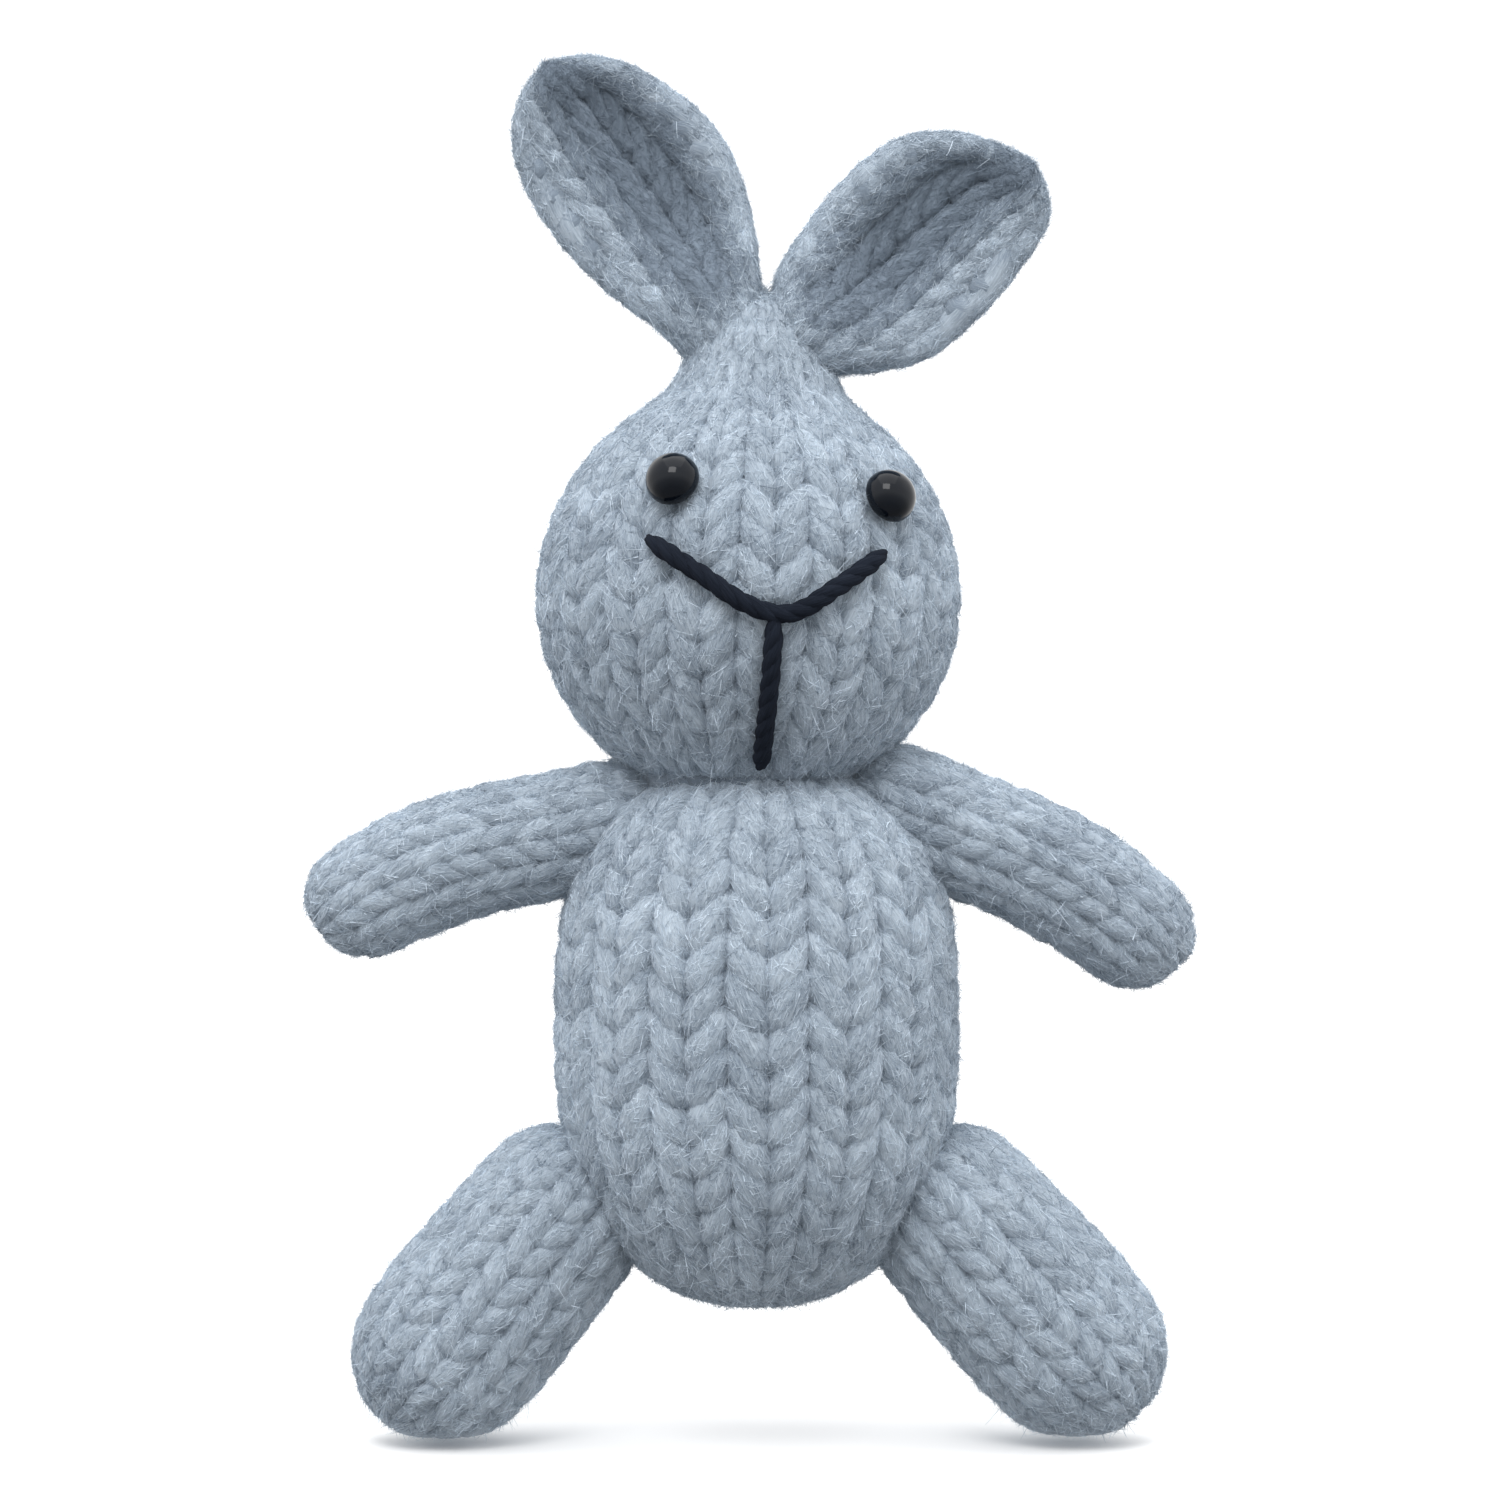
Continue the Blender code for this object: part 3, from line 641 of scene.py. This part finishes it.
def set_inputs(node, **values):
    """Sets a node's inputs, with the spaces of their names written as underscores."""
    for name, value in values.items():
        node.inputs[name.replace("_", " ")].default_value = value


def attribute(tree, name, output="Fac"):
    return add_node(tree, "ShaderNodeAttribute", attribute_name=name).outputs[output]


def grain(tree, scale, detail=2.0, roughness=0.5, distortion=0.0, where=None):
    """A noise over the object, or over another place."""
    where = where or add_node(tree, "ShaderNodeTexCoord").outputs["Object"]
    inputs = {"Vector": where, "Scale": scale, "Detail": detail, "Roughness": roughness, "Distortion": distortion}
    return add_node(tree, "ShaderNodeTexNoise", inputs).outputs[0]


def set_relief(tree, shader, height, strength, distance):
    relief = add_node(tree, "ShaderNodeBump", {"Height": height, "Strength": strength, "Distance": distance})
    link(tree, relief.outputs[0], shader.inputs["Normal"])


def fluffy_yarn(name, light, dark, streak=13.0, sheen=0.25):
    """Brushed yarn: fine streaks along it, soft patches, rows that differ a little, and painted shade where the paths'
    shade value says.
    """
    made, tree, shader = principled(name)
    wrap = add_node(tree, "ShaderNodeSeparateXYZ", {0: attribute(tree, "wrap", "Vector")})
    y, z = (calc(tree, "MULTIPLY", wrap.outputs[axis], streak) for axis in (0, 1))
    where = vector_of(tree, calc(tree, "MULTIPLY", attribute(tree, "run"), 0.7), y, z)
    fibres = grain(tree, 1.0, 3.0, 0.6, where=where)
    patches = calc(tree, "MULTIPLY", grain(tree, 260.0, 3.0, 0.6), 0.35)
    # The shade value holds random row tone and painted shade, which pulls the yarn to its dark colour in the loops'
    # gaps and the ear hollows.
    tone = calc(tree, "ADD", calc(tree, "MULTIPLY_ADD", fibres, 0.65, patches), attribute(tree, "shade"))
    middle = tuple((a + b) / 2 for a, b in zip(light, dark))
    link(tree, ramp(tree, tone, [(0.3, dark), (0.52, middle), (0.72, light)]), shader.inputs["Base Color"])
    set_relief(tree, shader, fibres, 0.5, 0.0004)
    set_inputs(shader, Roughness=1.0, Specular_IOR_Level=0.1)
    set_inputs(shader, Sheen_Weight=sheen, Sheen_Roughness=0.6, Sheen_Tint=(0.85, 0.9, 1.0, 1.0))
    return made


def fibre_finish(name, light, dark):
    """Loose fibres: each has its own tint, and follows the shade value of the yarn it grows from, with its painted
    shade.
    """
    made, tree, shader = principled(name)
    mixed = calc(tree, "MULTIPLY_ADD", attribute(tree, "tint"), 0.5, attribute(tree, "shade"))
    tone = calc(tree, "MULTIPLY_ADD", grain(tree, 300.0), 0.5, mixed)
    link(tree, ramp(tree, tone, [(0.2, dark), (0.75, light)]), shader.inputs["Base Color"])
    set_inputs(shader, Roughness=1.0, Specular_IOR_Level=0.1)
    return made


def matted_finish(name, light, dark, scale):
    """Felted yarn, loose filling or the dark sheet of painted shade under the stitches, with a matted grain."""
    made, tree, shader = principled(name)
    matting = grain(tree, scale, 6.0, 0.7, 1.2)
    link(tree, ramp(tree, matting, [(0.3, dark), (0.7, light)]), shader.inputs["Base Color"])
    set_relief(tree, shader, matting, 0.5, 0.0005)
    set_inputs(shader, Roughness=1.0, Sheen_Weight=0.2)
    return made


def moulded_finish(name, colour, roughness, gloss):
    """Moulded plastic with faint polishing marks."""
    made, tree, shader = principled(name)
    marks = grain(tree, 700.0, 4.0)
    darker = tuple(c * 0.8 for c in colour)
    link(tree, ramp(tree, marks, [(0.3, darker), (0.7, colour)]), shader.inputs["Base Color"])
    rough = add_node(
        tree, "ShaderNodeMapRange", {0: marks, 1: 0.3, 2: 0.7, 3: roughness * 0.8, 4: roughness * 1.2}
    )
    link(tree, rough.outputs[0], shader.inputs["Roughness"])
    set_relief(tree, shader, marks, 0.04, 0.0001)
    set_inputs(shader, Specular_IOR_Level=gloss)
    return made


FINISHES = {}


def finishes(settings):
    """The toy's finishes, made once."""
    if not FINISHES:
        light, dark = tuple(settings.yarn_light), tuple(settings.yarn_dark)
        # Painted shade: the sheet under each cover's stitches goes from the yarn's dark colour to 0.55 of it, so that
        # the gaps between stitches look shaded.
        painted_shade_dark = tuple(c * 0.55 for c in dark)
        FINISHES.update(
            yarn=fluffy_yarn("grey_blue_yarn", light, dark),
            fibre=fibre_finish("grey_blue_fibre", tuple(min(1.0, c * 1.2) for c in light), dark),
            lining=matted_finish("cover_lining", dark, painted_shade_dark, 700.0),
            black=fluffy_yarn("black_yarn", (0.016, 0.021, 0.033), (0.005, 0.007, 0.012), 5.0, 0.0),
            filling=matted_finish("polyester_filling", (0.86, 0.86, 0.84), (0.66, 0.66, 0.64), 420.0),
            sewing=matted_finish("sewing_yarn", light, dark, 1200.0),
            eye=moulded_finish("black_eye_plastic", (0.004, 0.006, 0.010), 0.08, 0.2),
            washer=moulded_finish("washer_plastic", (0.74, 0.74, 0.70), 0.45, 0.5),
        )
    return FINISHES


# ---------------------------------------------------------------- knitting
TREES = {}


def tree(kind):
    """The node tree of one kind, made once."""
    if kind not in TREES:
        TREES[kind] = {"yarn": yarn_tree, "fuzz": fuzz_tree}[kind]()
    return TREES[kind]


def uneven(count, size, rng):
    """A value that wanders from stitch to stitch and meets itself after a whole round."""
    values = rng.normal(0.0, size, count)
    values = np.append(values, values[0])
    return np.interp(np.arange(count * LOOP_STEPS) / LOOP_STEPS, np.arange(count + 1), values)


def yarn_radius(form, wales, kind):
    """The radius, in mm, of a yarn that fills a round of that many stitches."""
    return PLUMP[kind] * form.girth.max() / (wales + 2 * math.pi * PLUMP[kind])


def knit_courses(form, wales, pitch, first_v, yarn, depth, seed, ends=(0.9, 0.0), pressed=None, darker=None):
    """The yarn's path round each course.

    Loops open towards the form's far end. first_v turns the first one, in degrees, and ends is the room left before
    the first course and after the last one. pressed says how far the yarn is pushed in at a point, and darker how
    much painted shade it gets at a share of a turn and a distance along.
    """
    rng = np.random.default_rng(seed)
    widest = form.girth.max() - 2 * math.pi * yarn
    start = LOOP_REACH * pitch + ends[0]
    stop = form.run[-1] - ends[1]
    rows = max(1, int(round((stop - start) / pitch)))
    step = (stop - start) / rows
    t = 2 * math.pi * np.arange(wales * LOOP_STEPS) / LOOP_STEPS
    under = ((1 + np.cos(2 * t)) / 2) ** 1.5
    tuck = LOOP_TUCK * np.cos(t) * (1 - under) - LOOP_TUCK / 2 - depth * under
    courses = []
    for row in range(rows + 1):
        drift = uneven(wales, 0.02, rng)
        stitch = t / (2 * math.pi) + LOOP_LEAN * np.sin(2 * t) + drift
        turn = (stitch - 0.5) / wales + first_v / 360
        run = start + row * step - LOOP_REACH * step * np.cos(t) + uneven(wales, 0.07 * pitch, rng)
        run = np.clip(run, 0.15, form.run[-1])
        girth = np.interp(run, form.run, form.girth)
        wide = np.clip((girth - math.pi * yarn) / widest, 0.02, 1.2)
        thick = yarn * np.clip(wide**0.6, 0.3, 1.08) * (1 + uneven(wales, 0.05, rng))
        points, out = form.at(turn, run, yarn * np.clip(wide, 0.35, 1.0) * tuck - thick)
        if pressed:
            points = points - out * pressed(points)[:, None]
        after = np.roll(points, -1, 0)
        # Painted shade: the loops' tops and feet, which sit low between the legs, are 0.2 darker. The rest of the shade
        # value is random tone from row to row and stitch to stitch.
        shade = rng.normal(0, 0.02) + uneven(wales, 0.03, rng) - 0.2 * under
        if darker:
            shade = shade - darker(turn, run)
        courses.append(
            {
                "points": points,
                "thickness": thick * MM,
                "flow": unit(after - np.roll(points, 1, 0)),
                "out": out,
                "run": np.cumsum(np.linalg.norm(after - points, axis=1)) + rng.uniform(0, 500),
                "shade": shade,
                "showing": np.clip(0.7 - 0.65 * np.cos(2 * t), 0, 1),
            }
        )
    return courses


def settle(obj, change):
    """Moves a mesh's points by a function of their places in mm."""
    count = len(obj.data.vertices)
    flat = np.zeros(count * 3, np.float32)
    obj.data.vertices.foreach_get("co", flat)
    moved = change(flat.reshape(-1, 3) / MM) * MM
    obj.data.vertices.foreach_set("co", moved.astype(np.float32).ravel())
    obj.data.update()


def place(piece, nodes, body=None, blend=None):
    """Puts a piece on its body, or keeps it where it is in the world when it lies between two, and hides the parts that
    it stands for.
    """
    if blend:
        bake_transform(piece)
    else:
        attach(piece, body)
    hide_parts(*nodes)


def knit_cover(
    settings, name, form, courses, lining_inset, node, body=None, blend=None, settle_on=None, fuzz=1.0, seed=1
):
    """The knitted cover of one form: its yarn, its loose fibres and a dark sheet under its stitches, which paints the
    shade in the gaps between them.
    """
    made = finishes(settings)
    paths = closed_paths(name + "_paths", courses)
    yarn = grown(paths, tree("yarn"), name + "_knit", sides=YARN_SIDES, finish=made["yarn"])
    bpy.data.objects.remove(paths)
    if settle_on:
        settle(yarn, settle_on)
    nap_pieces = 2 if form.area() > ONE_NAP_AREA else 1
    kinds = [(f"nap_{number + 1}", NAP, NAP["share"] / nap_pieces) for number in range(nap_pieces)]
    others = []
    for number, (label, kind, share) in enumerate([*kinds, ("halo", HALO, HALO["share"])]):
        others.append(
            grown(
                yarn,
                tree("fuzz"),
                f"{name}_{label}",
                density=settings.fibre_density * 1e6 * fuzz * share,
                length=settings.fibre_length * kind["length"],
                width=settings.fibre_width * kind["width"],
                lift=settings.fibre_lift * kind["lift"],
                scatter=settings.fibre_scatter,
                segments=kind["segments"],
                seed=seed + number,
                finish=made["fibre"],
            )
        )
    # The dark sheet of painted shade under the stitches.
    others.append(skin(name + "_lining", form, lining_inset, made["lining"], 0.5, 2.0))
    for piece in others:
        if settle_on:
            settle(piece, settle_on)
    for piece in (yarn, *others):
        place(piece, [node], body, blend)


def filling(settings, name, form, inset, body, node, settle_on=None):
    """The loose filling inside a cover."""
    made = skin(name, form, inset, finishes(settings)["filling"], 0.7, 4.0)
    if settle_on:
        settle(made, settle_on)
    place(made, [node], body)


def limb(settings, kind, side, form, seed, lining_depth, filling_inset, settle_on=None):
    """A stuffed arm or leg."""
    wales, body = getattr(settings, kind + "_wales"), f"{kind}_{side}"
    yarn = yarn_radius(form, wales, kind)
    courses = knit_courses(form, wales, settings.limb_row / MM, 0.0, yarn, settings.loop_depth, seed, (0.5, 4.0))
    cover = f"{kind}_cover_{side}"
    knit_cover(settings, body, form, courses, yarn * lining_depth, cover, body, settle_on=settle_on, seed=seed + 9)
    filling(settings, f"{kind}_filling_{side}", form, filling_inset, body, f"{kind}_stuffing_{side}", settle_on)


# ---------------------------------------------------------------- settings
def length_setting(name, default, description):
    return bpy.props.FloatProperty(name=name, description=description, default=default, unit="LENGTH")


def number_setting(name, default, description):
    return bpy.props.FloatProperty(name=name, description=description, default=default, min=0.0)


def colour_setting(name, default, description):
    return bpy.props.FloatVectorProperty(name=name, description=description, subtype="COLOR", size=3, default=default)


def stitch_setting(name, default, least):
    description = f"{name} in one round"
    return bpy.props.IntProperty(name=name, description=description, default=default, min=least)


class BunnySettings(bpy.types.PropertyGroup):
    """Sizes and colours of the knitting."""

    yarn_light: colour_setting("Yarn light", (0.52, 0.595, 0.67), "Colour of the yarn's raised fibres")
    # The dark colour is also where the painted shade of the loops' gaps and the ear hollows leads, and the base of the
    # sheet of painted shade under the stitches.
    yarn_dark: colour_setting("Yarn dark", (0.19, 0.235, 0.29), "Colour between the yarn's fibres")
    fibre_density: number_setting("Fibres", 14.0, "Loose fibres on each square millimetre of yarn")
    fibre_length: length_setting("Fibre length", 0.0021, "Length of a loose fibre")
    fibre_width: length_setting("Fibre width", 0.00005, "Width of a loose fibre")
    fibre_lift: number_setting("Fibre lift", 0.2, "How far fibres stand up from the yarn")
    fibre_scatter: number_setting("Fibre scatter", 1.2, "How far fibres stray sideways from the way the yarn runs")
    torso_wales: stitch_setting("Torso stitches", 15, 6)
    head_wales: stitch_setting("Head stitches", 18, 6)
    arm_wales: stitch_setting("Arm stitches", 8, 4)
    leg_wales: stitch_setting("Leg stitches", 10, 4)
    ear_wales: stitch_setting("Ear stitches", 8, 4)
    body_row: length_setting("Body rows", 0.0038, "Height of one row on the torso and head")
    limb_row: length_setting("Limb rows", 0.0035, "Height of one row on the arms, legs and ears")
    loop_depth: number_setting("Loop depth", 1.7, "How far a loop's top and foot lie behind its legs, in yarn radii")
    mouth_yarn: length_setting("Mouth yarn", 0.0019, "Thickness of the mouth's yarn")


# ---------------------------------------------------------------- pieces
class Step:
    """One step of the build, run as an operator."""

    def execute(self, context):
        self.build(context.scene.bunny)
        return {"FINISHED"}


class BUNNY_OT_torso(Step, bpy.types.Operator):
    """Knits the torso's cover and fills it"""

    bl_idname = "bunny.torso"
    bl_label = "Torso"

    def build(self, settings):
        form = torso_form()
        yarn = yarn_radius(form, settings.torso_wales, "torso")
        courses = knit_courses(form, settings.torso_wales, settings.body_row / MM, 3.2, yarn, settings.loop_depth, 5)
        neck = joint_place("neck_nod") * MM
        crease = ("torso", "neck", neck - [0, 0, 0.0065], neck + [0, 0, 0.001])
        knit_cover(settings, "torso", form, courses, yarn * BODY_SHADE_SHEET, "torso_cover", blend=crease, seed=7)
        filling(settings, "torso_filling", form, BODY_FILLING_INSET, "torso", "torso_stuffing")


class BUNNY_OT_neck(Step, bpy.types.Operator):
    """Fills the neck inside its tie"""

    bl_idname = "bunny.neck"
    bl_label = "Neck"

    def build(self, settings):
        knot, _, up = head_axes()
        form = turned_form(smooth_through(NECK_LINE, 8), knot, up, FRONT)
        # The neck's gather is real, but it takes the dark sheet's finish: painted shade in the crease between the head
        # and the torso.
        gather = skin("neck_gather", form, 0.0, finishes(settings)["lining"], 0.5, 2.0)
        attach(gather, "neck")
        filling(settings, "neck_filling", form, 2.0, "neck", "neck_stuffing")


def eye_seat(side):
    """An eye's place on the head, the way it looks and the top of its dome, from its turned solid."""
    node = frame["nodes"][f"eye_{side}"]
    points = np.array([v.co for v in node.data.vertices], float) / MM
    centre = points.mean(axis=0)
    _, _, axes = np.linalg.svd(points - centre, full_matrices=False)
    out = axes[0] * np.sign(axes[0] @ (centre - head_axes()[1]))
    top = ((points - centre) @ out).max()
    return centre + out * (top - EYE_HEIGHT), out


def face_point(form, azimuth, height, lift):
    """A point on the head by its azimuth in degrees and its height from the head's centre."""
    _, centre, up = head_axes()
    run = form.run_at(height, up, centre)
    points, out = form.at(np.array([azimuth / 360]), np.array([run]), lift)
    return points[0], out[0]


def face_line(form, line, lift):
    """A stitch's path on the face, with both its ends diving into the cover."""
    path = [face_point(form, azimuth, height, lift) for azimuth, height in smooth_through(line, 5)]
    points = np.array([point for point, _ in path])
    dives = []
    for end, back in ((0, points[0] - points[1]), (-1, points[-1] - points[-2])):
        back, out = unit(back), path[end][1]
        dives.append([points[end] + back * 0.4 - out * 0.8, points[end] + back * 0.5 - out * 2.6])
    return evenly(smooth_through([*dives[0][::-1], *points, *dives[1]], 3), 0.4)


class BUNNY_OT_head(Step, bpy.types.Operator):
    """Knits the head's cover and fills it"""

    bl_idname = "bunny.head"
    bl_label = "Head"

    def build(self, settings):
        form = head_form()
        yarn = yarn_radius(form, settings.head_wales, "head")
        eyes = [eye_seat(side)[0] for side in SIDES]
        lines = np.vstack([face_line(form, line, 0.0)[6:-6] for line in (SMILE, LIP_LINE)])

        def pressed(points):
            depth = np.zeros(len(points))
            for eye in eyes:
                depth += EYE_DENT * np.exp(-(np.linalg.norm(points - eye, axis=1) / 3.2) ** 2)
            near = np.linalg.norm(points[:, None, :] - lines[None, :, :], axis=2).min(axis=1)
            return depth + MOUTH_DENT * np.exp(-((np.maximum(near - 1.5, 0) / 1.3) ** 2))

        courses = knit_courses(
            form, settings.head_wales, settings.body_row / MM, 7.0, yarn, settings.loop_depth, 9, (-2.6, 0.6), pressed
        )
        knit_cover(settings, "head", form, courses, yarn * BODY_SHADE_SHEET, "head_cover", "head", seed=8)
        filling(settings, "head_filling", form, BODY_FILLING_INSET, "head", "head_stuffing")


class BUNNY_OT_face(Step, bpy.types.Operator):
    """Sets the eyes in the head and sews the mouth"""

    bl_idname = "bunny.face"
    bl_label = "Face"

    def build(self, settings):
        made = finishes(settings)
        outline = [
            (EYE_RADIUS * math.sin(a), (EYE_HEIGHT if math.cos(a) > 0 else EYE_BACK) * math.cos(a))
            for a in np.radians(np.linspace(1, 179, 60))
        ]
        dome = turned_form(outline, np.zeros(3), UPRIGHT, FRONT)
        for side in SIDES:
            seat, out = eye_seat(side)
            eye = skin(f"eye_bead_{side}", dome, 0.0, made["eye"])
            turn = Vector(out).to_track_quat("Z", "Y").to_matrix().to_4x4()
            eye.data.transform(Matrix.Translation(Vector(seat * MM)) @ turn)
            place(eye, [f"eye_{side}"], "head")
        form = head_form()
        radius = settings.mouth_yarn / MM / 2
        for name, line in (("mouth_smile", SMILE), ("mouth_lip", LIP_LINE)):
            path = face_line(form, line, radius * 0.1)
            piece = plied_yarn(name, path, radius, made["black"])
            place(piece, [name + "_stitch"], "head")


def plied_yarn(name, path, radius, finish, plies=3, lay=5.5):
    """A yarn of a few plies twisted together, along a path."""
    flow = unit(np.gradient(path, axis=0))
    side = [unit(np.cross(flow[0], [0.3, 0.2, 1.0]))]
    for tangent in flow[1:]:
        side.append(unit(side[-1] - tangent * (side[-1] @ tangent)))
    side = np.array(side)
    other = np.cross(flow, side)
    run = np.concatenate([[0], np.cumsum(np.linalg.norm(np.diff(path, axis=0), axis=1))])
    taper = 0.35 + 0.65 * smooth_step(1.5, 4.5, np.minimum(run, run[-1] - run))
    courses = []
    for ply in range(plies):
        angle = 2 * math.pi * (run / lay + ply / plies)
        around = np.cos(angle)[:, None] * side + np.sin(angle)[:, None] * other
        courses.append(
            {
                "points": path + around * (radius * 0.34 * taper)[:, None],
                "thickness": radius * 0.68 * MM * taper,
                "flow": flow,
                "out": around,
                "run": run + 40.0 * ply,
                "shade": np.zeros(len(path)),
                "showing": np.ones(len(path)),
                "closed": False,
            }
        )
    paths = closed_paths(name + "_paths", courses)
    made = grown(paths, tree("yarn"), name, sides=8, finish=finish)
    bpy.data.objects.remove(paths)
    return made


class BUNNY_OT_ears(Step, bpy.types.Operator):
    """Knits the two cupped ears"""

    bl_idname = "bunny.ears"
    bl_label = "Ears"

    def build(self, settings):
        wales = settings.ear_wales
        for number, side in enumerate(SIDES):
            form = ear_form(side)
            yarn = yarn_radius(form, wales, "ear")
            tip = form.run[-1]

            # Painted shade: the middle of the hollow is made darker. It grows from a tenth to three tenths of the way
            # from the ear's root.
            def hollow(turn, run):
                off = np.abs(np.mod(turn + 0.5, 1.0) - 0.5)
                along = smooth_step(0.1 * tip, 0.3 * tip, run)
                return HOLLOW_PAINTED_SHADE * (1 - smooth_step(0.04, 0.15, off)) * along

            courses = knit_courses(
                form, wales, settings.limb_row / MM, 0.0, yarn, EAR_LOOP_DEPTH, 31 + number, (-2.0, 1.6), darker=hollow
            )
            ear = f"ear_{side}"
            knit_cover(settings, ear, form, courses, EAR_SHADE_SHEET, ear, ear, fuzz=EAR_FUZZ, seed=40 + number)


class BUNNY_OT_arms(Step, bpy.types.Operator):
    """Knits the two arms and fills them"""

    bl_idname = "bunny.arms"
    bl_label = "Arms"

    def build(self, settings):
        for number, (side, sign) in enumerate(SIDES.items()):
            droop = math.radians(ARM_DROOP[side])
            along = np.array([sign * math.cos(droop), 0, -math.sin(droop)])
            form = limb_form(ARM_HAND, ARM_LINE, joint_place(f"arm_raise_{side}"), along, ARM_ARCH)
            limb(settings, "arm", side, form, 51 + number, 1.7, 3.6)


class BUNNY_OT_legs(Step, bpy.types.Operator):
    """Knits the two legs, flat where they stand, and fills them"""

    bl_idname = "bunny.legs"
    bl_label = "Legs"

    def build(self, settings):
        for number, (side, sign) in enumerate(SIDES.items()):
            lean = math.radians(LEG_LEANS[side])
            along = np.array([sign * math.sin(lean), 0, -math.cos(lean)])
            hip = joint_place(f"leg_spread_{side}") + LEG_HIP * np.array([sign * math.cos(lean), 0, math.sin(lean)])
            form = limb_form(LEG_FOOT, LEG_LINE, hip, along)
            limb(settings, "leg", side, form, 71 + number, 1.8, 4.6, flat_sole)


class BUNNY_OT_fastenings(Step, bpy.types.Operator):
    """Finishes the knots, the neck tie and the eye washers, which stay as they are"""

    bl_idname = "bunny.fastenings"
    bl_label = "Knots and washers"

    def build(self, settings):
        made = finishes(settings)
        for name, node in frame["nodes"].items():
            if node.hide_render:
                continue
            node.data.materials.clear()
            node.data.materials.append(made["washer"] if "washer" in name else made["sewing"])


def soft_room():
    """A white room, dimmer in front of the toy and below it."""
    world = bpy.data.worlds.new("soft_room")
    world.use_nodes = True
    tree = world.node_tree
    direction = add_node(tree, "ShaderNodeTexCoord").outputs["Generated"]
    facing = vector_calc(tree, "DOT_PRODUCT", direction, (0.0, -0.45, -0.9))
    tones = [(share, (tone, tone, tone)) for share, tone in ((0.06, 1.0), (0.4, 0.5), (0.8, 0.26))]
    link(tree, ramp(tree, facing, tones), tree.nodes["Background"].inputs[0])
    tree.nodes["Background"].inputs[1].default_value = ROOM_LIGHT
    return world


class BUNNY_OT_stage(Step, bpy.types.Operator):
    """Adds the floor, the lights and the camera"""

    bl_idname = "bunny.stage"
    bl_label = "Floor, lights and camera"

    def build(self, settings):
        scene = bpy.context.scene
        middle = joint_place("neck_turn")[1] * MM
        reach = FLOOR_REACH / MM
        corners = [(x * reach, y * reach, 0.0) for x, y in ((-1, -1), (1, -1), (1, 1), (-1, 1))]
        floor = new_object("pale_floor", corners, (), [(0, 1, 2, 3)])
        paper, tree, shader = principled("pale_paper")
        tones = [(0.3, (0.90, 0.90, 0.90)), (0.7, (0.92, 0.92, 0.92))]
        link(tree, ramp(tree, grain(tree, 30.0), tones), shader.inputs["Base Color"])
        set_inputs(shader, Roughness=0.9, Specular_IOR_Level=0.0)
        floor.data.materials.append(paper)
        floor.visible_diffuse = False
        floor.visible_glossy = False
        scene.world = soft_room()
        scene.view_settings.view_transform = "Standard"

        target = Vector((0.0, middle, LAMP_TARGET))
        for name, (spot, size, power) in LAMPS.items():
            lamp = bpy.data.lights.new(name, "AREA")
            lamp.shape = "RECTANGLE"
            lamp.size, lamp.size_y = size
            lamp.energy = power
            holder = bpy.data.objects.new(name, lamp)
            scene.collection.objects.link(holder)
            holder.location = spot
            holder.rotation_euler = (target - Vector(spot)).to_track_quat("-Z", "Y").to_euler()

        view = bpy.data.cameras.new("front_camera")
        view.lens = CAMERA_LENS
        view.sensor_width = 36.0
        view.clip_start = 0.01
        camera = bpy.data.objects.new("front_camera", view)
        scene.collection.objects.link(camera)
        camera.location = (0.0, middle - CAMERA_DISTANCE, CAMERA_HEIGHT)
        camera.rotation_euler = (math.radians(90), 0, 0)
        scene.camera = camera


class BUNNY_PT_panel(bpy.types.Panel):
    """The bunny's settings and the steps that build it"""

    bl_idname = "BUNNY_PT_panel"
    bl_label = "Knitted bunny"
    bl_space_type = "VIEW_3D"
    bl_region_type = "UI"
    bl_category = "Bunny"

    def draw(self, context):
        column = self.layout.column()
        for name in BunnySettings.__annotations__:
            column.prop(context.scene.bunny, name)
        for step in STEPS:
            column.operator(step.bl_idname)


STEPS = (
    BUNNY_OT_torso,
    BUNNY_OT_neck,
    BUNNY_OT_head,
    BUNNY_OT_face,
    BUNNY_OT_ears,
    BUNNY_OT_arms,
    BUNNY_OT_legs,
    BUNNY_OT_fastenings,
    BUNNY_OT_stage,
)
CLASSES = (BunnySettings, *STEPS, BUNNY_PT_panel)


def register():
    for made in CLASSES:
        bpy.utils.register_class(made)
    bpy.types.Scene.bunny = bpy.props.PointerProperty(type=BunnySettings)


def unregister():
    del bpy.types.Scene.bunny
    for made in reversed(CLASSES):
        bpy.utils.unregister_class(made)


def main():
    register()
    for step in STEPS:
        group, name = step.bl_idname.split(".")
        getattr(getattr(bpy.ops, group), name)()


if __name__ == "__main__":
    main()
